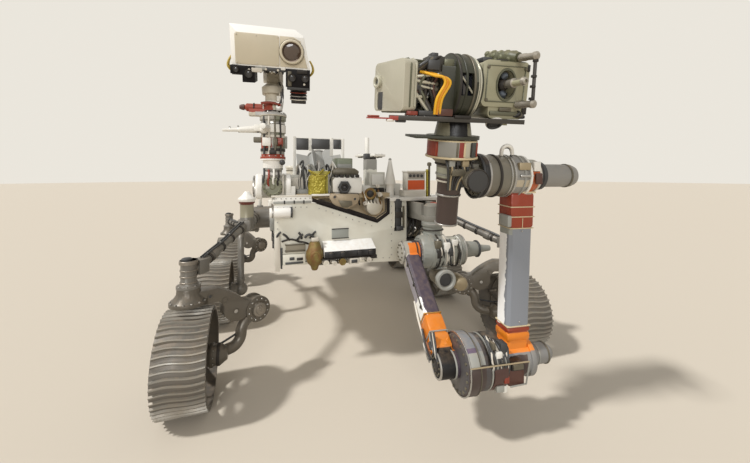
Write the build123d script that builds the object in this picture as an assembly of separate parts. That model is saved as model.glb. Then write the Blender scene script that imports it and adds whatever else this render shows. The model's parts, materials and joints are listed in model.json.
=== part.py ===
from build123d import *
import os
from math import cos, pi, radians, sin

# Planetary rover with six driven wheels, a camera mast and a jointed arm
# Millimetres. +X is forward, +Y is the rover's left and +Z is up.
# Every place below is counted from the ground under the middle axle, on the centre line.
# At the end all pieces are moved together so that the origin is the centre of the
# whole machine's footprint box.

# Wheels
WHEEL_TIP_R = 263.0
LUG_HEIGHT = 9.0
LUG_COUNT = 48
LUG_BASE_W = 15.0
WHEEL_WIDTH = 240.0
RIM_WALL = 9.0
RIM_SIDES = 36
SPOKE_COUNT = 8
SPOKE_THICK = 9.0
SPOKE_WIDTH = 60.0
SPOKE_BOW = 20.0
HUB_R = 62.0
HUB_HALF_LENGTH = 36.0
HUB_SIDES = 12
HALF_TRACK = 1070.0
AXLE_SPACING = 1100.0
AXLE_Z = WHEEL_TIP_R

# Gaps between pieces that move past each other
JOINT_GAP = 0.3
WHEEL_CLEAR = 24.0

# Body
BODY_FRONT = 930.0
BODY_REAR = -850.0
BODY_HALF_W = 600.0
BODY_BOTTOM = 700.0
BODY_TOP = 1075.0
DECK_THICK = 25.0
DECK_TOP = BODY_TOP + DECK_THICK
DECK_LIP = 30.0
PANEL_THICK = 20.0
PANEL_BOTTOM = 690.0
PANEL_DROP = 42.0
PANEL_LEFT_EDGE = 280.0
CORNER_BACK = 130.0
BELLY_THICK = 8.0
SIDE_PANEL_THICK = 8.0

# Flat covers on both sides of the housing, X0, X1, Z0, Z1
SIDE_PANELS = [(-780.0, -330.0, 790.0, 1050.0), (-290.0, 20.0, 790.0, 1050.0),
               (290.0, 760.0, 790.0, 1050.0)]

# Small boxes on the front panel, Y0, Y1, Z0, Z1 and depth
FRONT_BOXES = [(-570.0, -432.0, 692.0, 758.0, 30.0), (-552.0, -432.0, 766.0, 824.0, 14.0),
               (-255.0, -145.0, 840.0, 900.0, 8.0), (178.0, 276.0, 890.0, 1066.0, 10.0)]

# Payload pad with four bolt holes, behind the dish antenna
PAYLOAD_X = -675.0
PAYLOAD_Y = 300.0
PAYLOAD_SPACING = 180.0
PAYLOAD_HOLE_R = 4.5
PAYLOAD_DEPTH = 60.0
PAD_MARGIN = 35.0
PAD_THICK = 10.0

# Sampling bay, an outline of (Y, Z) corners on the body's front
BAY_OUTLINE = [(-386.0, DECK_TOP), (59.0, 940.0), (140.0, 993.0), (140.0, DECK_TOP)]
BAY_DEPTH = 300.0
BAY_WALL = 6.0

# Steering drives and the legs that they turn
DRIVE_R = 40.0
DRIVE_TOP = 778.0
CAP_HEIGHT = 22.0
RING_R = 95.0
RING_TOP = 650.0
RING_BOTTOM = 563.0
RING_LIP = 18.0
ARCH_HALF_W = 44.0
ARCH_EDGE_R = 16.0
KNUCKLE_BACK = 144.0
KNUCKLE_INSET = 334.0
KNUCKLE_Z = 448.0
KNUCKLE_R = 76.0
KNUCKLE_HALF = 60.0
LEG_R = 32.0
HUB_DRIVE_R = 56.0
LEG_INSET = 195.0
HUB_INSET = 125.0

# Suspension
TUBE_R = 27.0
BEAM_R = 45.0
COLLAR = 7.0
ROCKER_X = 150.0
ROCKER_Z = 900.0
ROCKER_HUB_R = 90.0
ROCKER_OUT = 760.0
POST_X = 550.0
POST_Y = 800.0
POST_R = 47.0
POST_BOTTOM = 860.0
POST_TOP = 1085.0
DOME_HEIGHT = 45.0
BOGIE_X = -500.0
BOGIE_Z = 740.0
BOGIE_Y = 880.0
BOGIE_HUB_R = 62.0
LINK_Y = 715.0
LINK_R = 14.0
BAR_Z = 1150.0

# Mast, whose yoke and head are made facing forward and then turned by a few degrees
MAST_X = 800.0
MAST_Y = -625.0
MAST_DRUM_R = 84.0
MAST_DRUM_HALF = 110.0
MAST_COLLAR_R = 64.0
MAST_COLLAR_TOP = 1365.0
MAST_TUBE_R = 75.0
MAST_TUBE_TOP = 1645.0
BOOM_Z = 1563.0
BOOM_TIP_Y = -935.0
BOOM_R = 26.0
BOOM_TIP_R = 9.0
YOKE_FLANGE_R = 88.0
YOKE_NECK_R = 50.0
ACTUATOR_Z = 1704.0
ACTUATOR_R = 26.0
ACTUATOR_REACH = 180.0
PIVOT_BACK = 60.0
PIVOT_Z = 1925.0
PIVOT_R = 38.0
PIVOT_HALF = 40.0
HEAD_TURN = -4.0
HEAD_PITCH = 18.0
HEAD_BACK = -70.0
HEAD_FRONT = 279.0
HEAD_HALF_W = 231.0
HEAD_LOW = 73.0
HEAD_HIGH = 302.0
HEAD_EDGE = 46.0
EYE_SIDE = 120.0
EYE_HEIGHT = 171.0
EYE_R = 68.0

# Arm, in the arm's own plane: forward reach, sideways offset and height
ARM_X = 1150.0
ARM_Y = 380.0
ARM_YAW = -6.0
LIFT_REACH = 40.0
LIFT_Z = 765.0
ELBOW_REACH = 605.0
ELBOW_Z = 358.0
WRIST_REACH = 650.0
WRIST_Z = 1258.0
WRIST_PITCH = 10.0
UPPER_SIDE = -175.0
FORE_SIDE = 174.0
TURRET_SIDE = -178.0
LIFT_DRUM_R = 105.0
ELBOW_DRUM_R = 126.0
WRIST_DRUM_R = 98.0
AZ_DRUM_R = 72.0
AZ_DRUM_TOP = 955.0
UPPER_TUBE = 100.0
UPPER_TUBE_W = 92.0
FORE_TUBE = 100.0
FORE_TUBE_W = 120.0
TUBE_EDGE = 14.0
SHOULDER_SIDE = 112.0
WRIST_SIDE = 100.0
DRIVE_END_R = 56.0
ELBOW_MOTOR_R = 50.0
ELBOW_MOTOR_END = 310.0

# Turret, in the wrist's own frame: forward, sideways and height from the wrist's axis
COLUMN_R = 112.0
COLUMN_LOW = 90.0
TURRET_BASE = 172.0
CORE_Z = 395.0
CORE_R = 140.0
CORE_SIDE = (-228.0, -112.0)
DRILL_SIDE = (-112.0, 112.0)
DRILL_Z = (318.0, 510.0)
DRILL_FACE = 95.0
DRILL_BACK = -120.0
SENSOR_TURN = 16.9
SENSOR_PLACE = (-5.0, -486.0)
SENSOR_HALF_W = 120.0
SENSOR_Z = (283.0, 491.0)
SENSOR_DEPTH = 62.0

# Power unit at the back
POWER_R = 130.0
POWER_FIN_R = 315.0
POWER_LENGTH = 640.0
POWER_TILT = 45.0
POWER_X = -985.0
POWER_Z = 1050.0
FIN_COUNT = 8
FIN_THICK = 10.0

# Antennas on the deck
DISH_X = -380.0
DISH_Y = 425.0
DISH_R = 172.0
DISH_THICK = 24.0
DISH_PIVOT_Z = 1415.0
DISH_POST_TOP = 1200.0
UHF_X = -560.0
UHF_Y = -380.0
UHF_TOP = 1350.0
WHIP_X = -640.0
WHIP_Y = 469.0
WHIP_TOP = 1690.0

parts = {}


def block(x0, x1, y0, y1, z0, z1):
    """A box between six planes."""
    size = Box(x1 - x0, y1 - y0, z1 - z0)
    return Pos((x0 + x1) / 2, (y0 + y1) / 2, (z0 + z1) / 2) * size


def soft_block(x0, x1, y0, y1, z0, z1, radius, axis=Axis.Z):
    """A box whose edges along one axis are rounded."""
    box = block(x0, x1, y0, y1, z0, z1)
    return fillet(box.edges().filter_by(axis), radius)


def rod(start, end, radius, end_radius=None):
    """A round rod, or a cone, from one point to another."""
    a = Vector(*start)
    b = Vector(*end)
    length = (b - a).length
    low = (Align.CENTER, Align.CENTER, Align.MIN)
    if end_radius is None:
        shape = Cylinder(radius, length, align=low)
    else:
        shape = Cone(radius, end_radius, length, align=low)
    return Plane(origin=a, z_dir=b - a) * shape


def turned(start, end, profile):
    """A turned piece: rods and cones along one line, from (place, radius) pairs in order."""
    a = Vector(*start)
    along = (Vector(*end) - a).normalized()
    corners = [(0, profile[0][0])] + [(radius, place) for place, radius in profile] + [(0, profile[-1][0])]
    half = make_face(Polyline(*corners, close=True))
    solid = revolve(Plane.XZ * half, Axis.Z, 360)
    return Plane(origin=a, z_dir=along) * solid


def chain(points, radius):
    """Round tube along straight runs, with a ball at each bend."""
    shape = rod(points[0], points[1], radius)
    for here, there in zip(points[1:], points[2:]):
        shape += Pos(*here) * Sphere(radius)
        shape += rod(here, there, radius)
    return shape


def bent_tube(plane, points, bends, radius):
    """Round tube along a path of straight runs and arcs in a plane."""
    path = plane * FilletPolyline(*points, radius=bends)
    start = path @ 0
    ring = Plane(origin=start, z_dir=path % 0) * Circle(radius)
    return sweep(ring, path=path)


def upright(origin_x, origin_y, toward_x, toward_y):
    """A vertical plane through a point, whose X runs level towards a direction and whose Y is up."""
    ahead = Vector(toward_x, toward_y, 0).normalized()
    return Plane(origin=(origin_x, origin_y, 0), x_dir=ahead, z_dir=(ahead.Y, -ahead.X, 0))


def beam(start, end, width, height):
    """A straight bar of rectangular section, with its width level."""
    a = Vector(*start)
    b = Vector(*end)
    along = b - a
    level = Vector(0, 0, 1).cross(along)
    low = (Align.CENTER, Align.CENTER, Align.MIN)
    bar = Box(width, height, along.length, align=low)
    return Plane(origin=a, x_dir=level, z_dir=along) * bar


def flipped(shape):
    """The same piece for the rover's other side."""
    return mirror(shape, about=Plane.XZ)


# Wheel, made at its own centre with its axle along Y
def make_wheel():
    root_r = WHEEL_TIP_R - LUG_HEIGHT
    step = 2 * pi / LUG_COUNT
    half = LUG_BASE_W / 2 / root_r
    outline = []
    for n in range(LUG_COUNT):
        turn = n * step
        for angle, radius in ((turn - half, root_r), (turn, WHEEL_TIP_R), (turn + half, root_r)):
            outline.append((radius * cos(angle), radius * sin(angle)))
    tread = make_face(Polyline(*outline, close=True))
    rim_r = root_r - RIM_WALL
    opening = RegularPolygon(rim_r, RIM_SIDES)
    wheel = extrude(tread - opening, WHEEL_WIDTH / 2, both=True)
    hub = extrude(RegularPolygon(HUB_R, HUB_SIDES), HUB_HALF_LENGTH, both=True)
    wheel += hub
    # Each spoke is a bowed strip in three straight runs, from inside the hub to inside the rim
    reach = rim_r * cos(pi / RIM_SIDES) + RIM_WALL / 2
    start = HUB_R * 0.8
    run = (reach - start) / 3
    bow = [(start, 0), (start + run, SPOKE_BOW), (start + 2 * run, SPOKE_BOW), (reach, 0)]
    upper = [(r, s + SPOKE_THICK / 2) for r, s in bow]
    lower = [(r, s - SPOKE_THICK / 2) for r, s in reversed(bow)]
    strip = extrude(make_face(Polyline(*upper, *lower, close=True)), SPOKE_WIDTH / 2, both=True)
    for n in range(SPOKE_COUNT):
        wheel += Rot(0, 0, n * 360 / SPOKE_COUNT + 10) * strip
    return Rot(90, 0, 0) * wheel


WHEEL_PLACES = [
    # name, axle X, side of the rover
    ("wheel_front_right", AXLE_SPACING, -1),
    ("wheel_middle_right", 0.0, -1),
    ("wheel_rear_right", -AXLE_SPACING, -1),
    ("wheel_front_left", AXLE_SPACING, 1),
    ("wheel_middle_left", 0.0, 1),
    ("wheel_rear_left", -AXLE_SPACING, 1),
]
wheel_shape = make_wheel()
for name, axle_x, side in WHEEL_PLACES:
    parts[name] = Pos(axle_x, side * HALF_TRACK, AXLE_Z) * wheel_shape


# Wheel drive: a round motor that reaches into the wheel, from inside it to the hub's face
def wheel_drive(axle_x):
    hub_face = -HALF_TRACK + HUB_HALF_LENGTH + JOINT_GAP
    inner = -HALF_TRACK + LEG_INSET
    profile = [(0, HUB_DRIVE_R), (70, HUB_DRIVE_R), (70, HUB_DRIVE_R + COLLAR), (88, HUB_DRIVE_R + COLLAR),
               (88, HUB_DRIVE_R), (inner - hub_face - 35, HUB_DRIVE_R), (inner - hub_face, LEG_R)]
    return turned((axle_x, hub_face, AXLE_Z), (axle_x, inner, AXLE_Z), profile)


# Steered leg on the rover's right: bolted ring, arch over the wheel, knuckle, bent leg and wheel drive.
# Its knuckle lies towards the middle of the rover, behind a front axle and ahead of a rear one.
def make_steered_leg(axle_x):
    pivot_y = -HALF_TRACK
    back = -KNUCKLE_BACK if axle_x > 0 else KNUCKLE_BACK
    profile = [(0, RING_R), (RING_LIP, RING_R), (RING_LIP, RING_R * 0.9), (54, RING_R * 0.64),
               (RING_TOP - RING_BOTTOM - JOINT_GAP, RING_R * 0.6)]
    leg = turned((axle_x, pivot_y, RING_BOTTOM), (axle_x, pivot_y, RING_TOP), profile)
    # Arch: a cast outline in the upright plane from the steering axis to the knuckle
    reach = Vector(back, KNUCKLE_INSET, 0).length
    low = WHEEL_TIP_R * 2 + WHEEL_CLEAR
    start = (-38, low)
    crest = (reach * 0.37, low + 74)
    shoulder = (reach * 0.82, KNUCKLE_Z + 68)
    hip = (reach, KNUCKLE_Z + KNUCKLE_R - 14)
    chin = (reach, KNUCKLE_Z - 16)
    lap = (reach * 0.82, KNUCKLE_Z - 20)
    knee = (reach * 0.47, KNUCKLE_Z + 32)
    brow = (reach * 0.38, low)
    edges = [
        Line(start, (start[0], crest[1])),
        Line((start[0], crest[1]), crest),
        ThreePointArc(crest, (reach * 0.62, low + 26), shoulder),
        Line(shoulder, hip),
        Line(hip, chin),
        Line(chin, lap),
        ThreePointArc(lap, (reach * 0.60, KNUCKLE_Z - 32), knee),
        ThreePointArc(knee, (reach * 0.45, low - 22), brow),
        Line(brow, start),
    ]
    arch = extrude(upright(axle_x, pivot_y, back, KNUCKLE_INSET) * make_face(edges), ARCH_HALF_W, both=True)
    arch = chamfer(arch.faces().sort_by(Axis.X)[0].outer_wire().edges(), ARCH_EDGE_R)
    arch = chamfer(arch.faces().sort_by(Axis.X)[-1].outer_wire().edges(), ARCH_EDGE_R)
    leg += arch
    # Knuckle: a short drum with a bolted rim, which faces forward and a little inwards
    knuckle_x = axle_x + back
    knuckle_y = pivot_y + KNUCKLE_INSET
    facing = Vector(cos(radians(30)), sin(radians(30)), 0)
    drum_start = Vector(knuckle_x, knuckle_y, KNUCKLE_Z) - facing * KNUCKLE_HALF
    drum_end = Vector(knuckle_x, knuckle_y, KNUCKLE_Z) + facing * KNUCKLE_HALF
    drum = [(0, KNUCKLE_R * 0.7), (14, KNUCKLE_R), (34, KNUCKLE_R), (34, KNUCKLE_R * 0.9),
            (86, KNUCKLE_R * 0.9),
            (86, KNUCKLE_R), (106, KNUCKLE_R), (106, KNUCKLE_R * 0.62),
            (2 * KNUCKLE_HALF, KNUCKLE_R * 0.56)]
    leg += turned(tuple(drum_start), tuple(drum_end), drum)
    # Bent leg from the knuckle out to the wheel drive
    hub_y = pivot_y + HUB_INSET
    plane = upright(knuckle_x, knuckle_y, axle_x - knuckle_x, hub_y - knuckle_y)
    span = Vector(axle_x - knuckle_x, hub_y - knuckle_y, 0).length
    points = [(0, KNUCKLE_Z - 10), (span * 0.35, KNUCKLE_Z - 80), (span * 0.38, AXLE_Z - 2), (span, AXLE_Z)]
    leg += bent_tube(plane, points, (90, 62), LEG_R)
    return leg + wheel_drive(axle_x)


# Fixed part of a steering drive, which the suspension carries
def make_steering_drive(axle_x):
    pivot_y = -HALF_TRACK
    rise = DRIVE_TOP - RING_TOP
    profile = [(0, RING_R * 0.64), (14, RING_R * 0.64), (14, DRIVE_R + COLLAR), (30, DRIVE_R),
               (rise, DRIVE_R),
               (rise, DRIVE_R + 5), (rise + CAP_HEIGHT, DRIVE_R + 5)]
    return turned((axle_x, pivot_y, RING_TOP), (axle_x, pivot_y, DRIVE_TOP), profile)


def collar_on(start, end, share, radius, length):
    """A raised ring on a tube, at a share of the way from its start."""
    a = Vector(*start)
    b = Vector(*end)
    along = (b - a).normalized()
    middle = a + (b - a) * share
    return rod(tuple(middle - along * (length / 2)), tuple(middle + along * (length / 2)), radius + COLLAR)


# Rocker on the rover's right: body hub, front beam, hinge post, front tube and rear beam
def make_rocker():
    hub_in = -BODY_HALF_W
    hub_out = -ROCKER_OUT - 30
    profile = [(0, ROCKER_HUB_R + 22), (24, ROCKER_HUB_R + 22), (24, ROCKER_HUB_R),
               (hub_in - hub_out - 20, ROCKER_HUB_R),
               (hub_in - hub_out, ROCKER_HUB_R - 20), (hub_in - hub_out, 40), (hub_in - hub_out + 18, 36)]
    rocker = turned((ROCKER_X, hub_in, ROCKER_Z), (ROCKER_X, hub_out, ROCKER_Z), profile)
    seat_top = ROCKER_Z + ROCKER_HUB_R + 10
    rocker += block(ROCKER_X - 25, ROCKER_X + 25, -LINK_Y - 25, -LINK_Y + 25, ROCKER_Z, seat_top)
    beam_z = ROCKER_Z + 10
    hub_point = (ROCKER_X, -ROCKER_OUT, ROCKER_Z)
    post_point = (POST_X, -POST_Y, beam_z)
    rocker += rod(hub_point, post_point, BEAM_R * 1.25, BEAM_R)
    rocker += collar_on(hub_point, post_point, 0.8, BEAM_R + 3, 26)
    # Hinge post with its rings and the dome on top
    rise = POST_TOP - POST_BOTTOM
    post = [(0, POST_R - 12), (12, POST_R), (rise - 30, POST_R), (rise - 30, POST_R + 8),
            (rise - 8, POST_R + 8),
            (rise - 8, POST_R + 14), (rise + 4, POST_R + 14), (rise + 12, POST_R + 6),
            (rise + 30, POST_R * 0.7),
            (rise + DOME_HEIGHT + 8, POST_R * 0.35)]
    rocker += turned((POST_X, -POST_Y, POST_BOTTOM), (POST_X, -POST_Y, POST_TOP), post)
    rocker += soft_block(POST_X - 30, POST_X + 62, -POST_Y - 58, -POST_Y + 30, beam_z - 48, beam_z + 26, 12)
    # Front tube, its ring, and the cast bracket at its bend
    bend = (AXLE_SPACING - 55, -HALF_TRACK + 48, 752.0)
    drive_point = (AXLE_SPACING, -HALF_TRACK, 738.0)
    rocker += chain([post_point, bend, drive_point], TUBE_R)
    rocker += collar_on(post_point, bend, 0.78, TUBE_R, 42)
    rocker += Pos(*bend) * Rot(0, 0, -42) * Box(62, 70, 76)
    # Rear beam down to the bogie's pivot
    pivot_in = -ROCKER_OUT + 30
    pivot_point = (BOGIE_X, -ROCKER_OUT - 20, BOGIE_Z)
    rocker += rod(hub_point, pivot_point, BEAM_R * 1.2, BEAM_R * 0.9)
    rocker += collar_on(hub_point, pivot_point, 0.62, BEAM_R, 30)
    pivot_run = BOGIE_Y - 55 + pivot_in
    pivot = [(0, BOGIE_HUB_R - 10), (12, BOGIE_HUB_R + 8), (40, BOGIE_HUB_R + 8), (40, BOGIE_HUB_R),
             (pivot_run, BOGIE_HUB_R)]
    rocker += turned((BOGIE_X, pivot_in, BOGIE_Z), (BOGIE_X, -BOGIE_Y, BOGIE_Z), pivot)
    return rocker + make_steering_drive(AXLE_SPACING)


# Bogie on the rover's right: hub, bent front tube to the middle wheel, rear tube
def make_bogie():
    hub_y = -BOGIE_Y + 55
    profile = [(0, BOGIE_HUB_R), (70, BOGIE_HUB_R), (70, BOGIE_HUB_R + 12), (90, BOGIE_HUB_R + 12),
               (100, BOGIE_HUB_R - 8),
               (100, 30), (112, 28)]
    bogie = turned((BOGIE_X, hub_y, BOGIE_Z), (BOGIE_X, hub_y - 100, BOGIE_Z), profile)
    leg_y = -HALF_TRACK + LEG_INSET
    front = [(BOGIE_X, BOGIE_Z), (-30, BOGIE_Z - 20), (0, BOGIE_Z - 130), (0, AXLE_Z)]
    tube_plane = Plane(origin=(0, leg_y, 0), x_dir=(1, 0, 0), z_dir=(0, -1, 0))
    bogie += bent_tube(tube_plane, front, (70, 70), TUBE_R)
    bogie += Pos(0, leg_y, AXLE_Z) * Sphere(HUB_DRIVE_R)
    bogie += rod((0, leg_y, AXLE_Z + 70), (0, leg_y, AXLE_Z + 100), TUBE_R + COLLAR)
    rear_start = (BOGIE_X, -BOGIE_Y, BOGIE_Z)
    rear_end = (-AXLE_SPACING, -HALF_TRACK, (RING_TOP + DRIVE_TOP) / 2)
    bogie += rod(rear_start, rear_end, TUBE_R)
    bogie += collar_on(rear_start, rear_end, 0.7, TUBE_R, 40)
    return bogie + wheel_drive(0.0) + make_steering_drive(-AXLE_SPACING)


SIDE_PIECES = [
    # name without its side, shape on the right
    ("steered_leg_front", make_steered_leg(AXLE_SPACING)),
    ("steered_leg_rear", make_steered_leg(-AXLE_SPACING)),
    ("rocker", make_rocker()),
    ("bogie", make_bogie()),
]
for name, shape in SIDE_PIECES:
    parts[name + "_right"] = shape
    parts[name + "_left"] = flipped(shape)


# Body: closed housing, front panel, deck and belly
def bay_prism(grow, front, back):
    """The sampling bay's space between two X planes, made larger or smaller by grow."""
    face = make_face(Polyline(*BAY_OUTLINE, close=True))
    if grow:
        face = offset(face, grow, kind=Kind.INTERSECTION)
    solid = extrude(Plane.YZ * face, front - back)
    return Pos(back, 0, 0) * solid


bay_front = BODY_FRONT + PANEL_THICK
bay_back = bay_front - BAY_DEPTH
bay_space = bay_prism(0, bay_front + 50, bay_back)
corner_back = BODY_FRONT - CORNER_BACK
corner = block(corner_back, BODY_FRONT + 50, PANEL_LEFT_EDGE, BODY_HALF_W + 50, BODY_BOTTOM - 50, BODY_TOP)
body = block(BODY_REAR, BODY_FRONT, -BODY_HALF_W, BODY_HALF_W, BODY_BOTTOM, BODY_TOP)
low_edges = body.edges().filter_by(Axis.X).group_by(Axis.Z)[0]
body = chamfer(low_edges, 60)
for x0, x1, z0, z1 in SIDE_PANELS:
    for near in (-BODY_HALF_W - SIDE_PANEL_THICK, BODY_HALF_W):
        body += block(x0, x1, near, near + SIDE_PANEL_THICK, z0, z1)
parts["body_housing"] = body - corner - bay_space

panel_right = -BODY_HALF_W - 20
panel_corners = [(panel_right, PANEL_BOTTOM), (PANEL_LEFT_EDGE, PANEL_BOTTOM - PANEL_DROP),
                 (PANEL_LEFT_EDGE, BODY_TOP), (panel_right, BODY_TOP)]
panel = extrude(Plane.YZ * make_face(Polyline(*panel_corners, close=True)), PANEL_THICK)
panel = Pos(BODY_FRONT, 0, 0) * panel
panel -= bay_space
for y0, y1, z0, z1, depth in FRONT_BOXES:
    panel += block(bay_front, bay_front + depth, y0, y1, z0, z1)
panel += rod((bay_front + 35, -650, 1026), (bay_front + 35, -520, 1026), 30)
panel += block(bay_front, bay_front + 30, -605, -565, 1008, 1044)
parts["front_panel"] = panel

deck = block(BODY_REAR - DECK_LIP, BODY_FRONT + DECK_LIP, -BODY_HALF_W - DECK_LIP, BODY_HALF_W + DECK_LIP,
             BODY_TOP, DECK_TOP)
deck -= bay_space
pad_half = PAYLOAD_SPACING / 2 + PAD_MARGIN
deck += soft_block(PAYLOAD_X - pad_half, PAYLOAD_X + pad_half, PAYLOAD_Y - pad_half, PAYLOAD_Y + pad_half,
                   DECK_TOP, DECK_TOP + PAD_THICK, 20)
deck += block(BODY_FRONT + 8, BODY_FRONT + DECK_LIP, -615, -390, DECK_TOP, DECK_TOP + 22)
housing = parts["body_housing"]
for side_x in (-1, 1):
    for side_y in (-1, 1):
        hole_x = PAYLOAD_X + side_x * PAYLOAD_SPACING / 2
        hole_y = PAYLOAD_Y + side_y * PAYLOAD_SPACING / 2
        hole = rod((hole_x, hole_y, DECK_TOP - PAYLOAD_DEPTH), (hole_x, hole_y, DECK_TOP + PAD_THICK + 5),
                   PAYLOAD_HOLE_R)
        deck -= hole
        housing -= hole
parts["top_deck"] = deck
parts["body_housing"] = housing

liner = bay_prism(0, bay_front, bay_back)
liner -= bay_prism(-BAY_WALL, bay_front + 5, bay_back + BAY_WALL)
lid_low = DECK_TOP - BAY_WALL - 1
liner -= block(bay_back + BAY_WALL, bay_front + 5, BAY_OUTLINE[0][0] + 40, BAY_OUTLINE[3][0] - BAY_WALL,
               lid_low, DECK_TOP + 5)
parts["sampling_bay"] = liner
belly_low = BODY_BOTTOM - BELLY_THICK
parts["belly_plate"] = block(BODY_REAR + 60, corner_back - 40, -BODY_HALF_W + 90, BODY_HALF_W - 90,
                             belly_low, BODY_BOTTOM)

# Camera shelf on the front panel: a sloping top over a row of small cameras
shelf_corners = [(bay_front, 729), (bay_front + 100, 735), (bay_front + 100, 778), (bay_front, 826)]
shelf = extrude(Plane.XZ * make_face(Polyline(*shelf_corners, close=True)), 338)
shelf = Pos(0, 18, 0) * shelf
for eye_y in (-280, -205, -95, -20):
    shelf += rod((bay_front + 90, eye_y, 755), (bay_front + 122, eye_y, 755), 16)
shelf += block(bay_front, bay_front + 70, -150, -60, 690, 735)
parts["camera_shelf"] = shelf

# Lens box over the sampling bay, on its bridge across the open top
lens_low = DECK_TOP + 30
lens_top = DECK_TOP + 145
lens_box = soft_block(780, 895, -228, -34, lens_low, lens_top, 14, Axis.X)
lens_box += block(780, 880, -480, 180, DECK_TOP, lens_low)
lens_box += turned((890, -166, DECK_TOP + 76), (935, -166, DECK_TOP + 76),
                   [(0, 48), (22, 48), (22, 38), (45, 34)])
lens_box += block(790, 850, -380, -264, lens_low, DECK_TOP + 185)
lens_box += turned((850, 193, DECK_TOP), (850, 193, DECK_TOP + 266),
                   [(0, 30), (90, 30), (90, 43), (266, 10)])
lens_box += block(820, 880, 150, 193, DECK_TOP, DECK_TOP + 20)
parts["lens_box"] = lens_box

# Boxes that stand on the deck
DECK_BOXES = [
    # X0, X1, Y0, Y1, height over the deck, radius of the upright edges
    (560.0, 700.0, -560.0, -400.0, 160.0, 8.0),
    (560.0, 700.0, -180.0, -45.0, 283.0, 30.0),
    (580.0, 700.0, 79.0, 209.0, 180.0, 8.0),
    (490.0, 575.0, 93.0, 185.0, 284.0, 6.0),
    (400.0, 540.0, -360.0, -200.0, 140.0, 10.0),
    (-120.0, 40.0, -480.0, -180.0, 110.0, 14.0),
    (-300.0, -60.0, 60.0, 240.0, 80.0, 14.0),
]
for n, (x0, x1, y0, y1, height, edge) in enumerate(DECK_BOXES):
    piece = soft_block(x0, x1, y0, y1, DECK_TOP, DECK_TOP + height, edge)
    parts["deck_boxes"] = piece if n == 0 else parts["deck_boxes"] + piece

# Target box on the deck's front left corner
target = block(840, 940, 269, 436, DECK_TOP, DECK_TOP + 48)
target += soft_block(848, 932, 293, 436, DECK_TOP + 48, DECK_TOP + 180, 6, Axis.X)
parts["target_box"] = target

# Differential bar across the deck, with its centre pivot and end links
bar_half = LINK_Y + 20
bar_corners = [(ROCKER_X - 24, -bar_half), (ROCKER_X + 24, -bar_half), (ROCKER_X + 46, -90),
               (ROCKER_X + 46, 90),
               (ROCKER_X + 24, bar_half), (ROCKER_X - 24, bar_half), (ROCKER_X - 46, 90),
               (ROCKER_X - 46, -90)]
bar = Pos(0, 0, BAR_Z - 20) * extrude(make_face(Polyline(*bar_corners, close=True)), 40)
hub_height = BAR_Z + 45 - DECK_TOP
bar += turned((ROCKER_X, 0, DECK_TOP), (ROCKER_X, 0, BAR_Z + 45),
              [(0, 80), (12, 80), (12, 60), (hub_height - 10, 60), (hub_height, 48)])
for side in (-1, 1):
    foot = ROCKER_Z + ROCKER_HUB_R + 10
    bar += rod((ROCKER_X, side * LINK_Y, foot), (ROCKER_X, side * LINK_Y, BAR_Z), LINK_R)
parts["differential_bar"] = bar

# Mast: drum base, tube with its flanges, and the wind booms on a ring
drum_z = DECK_TOP + MAST_DRUM_R
collar_rise = MAST_COLLAR_TOP - drum_z
drum_profile = [(0, 60), (0, MAST_DRUM_R - 10), (12, MAST_DRUM_R), (40, MAST_DRUM_R), (40, MAST_DRUM_R - 6),
                (2 * MAST_DRUM_HALF - 40, MAST_DRUM_R - 6), (2 * MAST_DRUM_HALF - 40, MAST_DRUM_R),
                (2 * MAST_DRUM_HALF, MAST_DRUM_R)]
mast_base = turned((MAST_X, MAST_Y - MAST_DRUM_HALF, drum_z), (MAST_X, MAST_Y + MAST_DRUM_HALF, drum_z),
                   drum_profile)
mast_base += block(MAST_X - 70, MAST_X + 70, MAST_Y, MAST_Y + 140, DECK_TOP, drum_z)
mast_base += turned((MAST_X, MAST_Y, drum_z), (MAST_X, MAST_Y, MAST_COLLAR_TOP),
                    [(0, 58), (collar_rise - 73, 58), (collar_rise - 73, MAST_COLLAR_R),
                     (collar_rise - 8, MAST_COLLAR_R), (collar_rise - 8, MAST_TUBE_R + 6),
                     (collar_rise, MAST_TUBE_R + 6)])
parts["mast_base"] = mast_base
tube_rise = MAST_TUBE_TOP - MAST_COLLAR_TOP
parts["mast_tube"] = turned((MAST_X, MAST_Y, MAST_COLLAR_TOP), (MAST_X, MAST_Y, MAST_TUBE_TOP),
                            [(0, MAST_TUBE_R + 6), (16, MAST_TUBE_R + 6), (16, MAST_TUBE_R),
                             (tube_rise - 26, MAST_TUBE_R),
                             (tube_rise - 26, MAST_TUBE_R + 9), (tube_rise, MAST_TUBE_R + 9)])
boom = rod((MAST_X, MAST_Y, BOOM_Z - BOOM_R), (MAST_X, MAST_Y, BOOM_Z + BOOM_R), MAST_TUBE_R + 8)
root = (MAST_X, MAST_Y - MAST_TUBE_R - 5, BOOM_Z)
knee = (MAST_X, MAST_Y - 210, BOOM_Z - 10)
boom += rod(root, knee, BOOM_R, BOOM_R * 0.7)
boom += rod(knee, (MAST_X, BOOM_TIP_Y, BOOM_Z - 16), BOOM_R * 0.5, BOOM_TIP_R)
boom += rod((MAST_X + 55, MAST_Y - 35, BOOM_Z), (MAST_X + 165, MAST_Y - 65, BOOM_Z), BOOM_R, BOOM_R * 0.7)
parts["wind_booms"] = boom - rod((MAST_X, MAST_Y, BOOM_Z - 60), (MAST_X, MAST_Y, BOOM_Z + 60), MAST_TUBE_R)


def on_mast(shape):
    """Turned about the mast by the few degrees that the head looks aside."""
    return Pos(MAST_X, MAST_Y, 0) * Rot(0, 0, HEAD_TURN) * Pos(-MAST_X, -MAST_Y, 0) * shape


def on_head(shape):
    """From the head's own level frame, counted from its pivot, to its place on the mast."""
    return on_mast(Pos(MAST_X - PIVOT_BACK, MAST_Y, PIVOT_Z) * Rot(0, HEAD_PITCH, 0) * shape)


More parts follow.
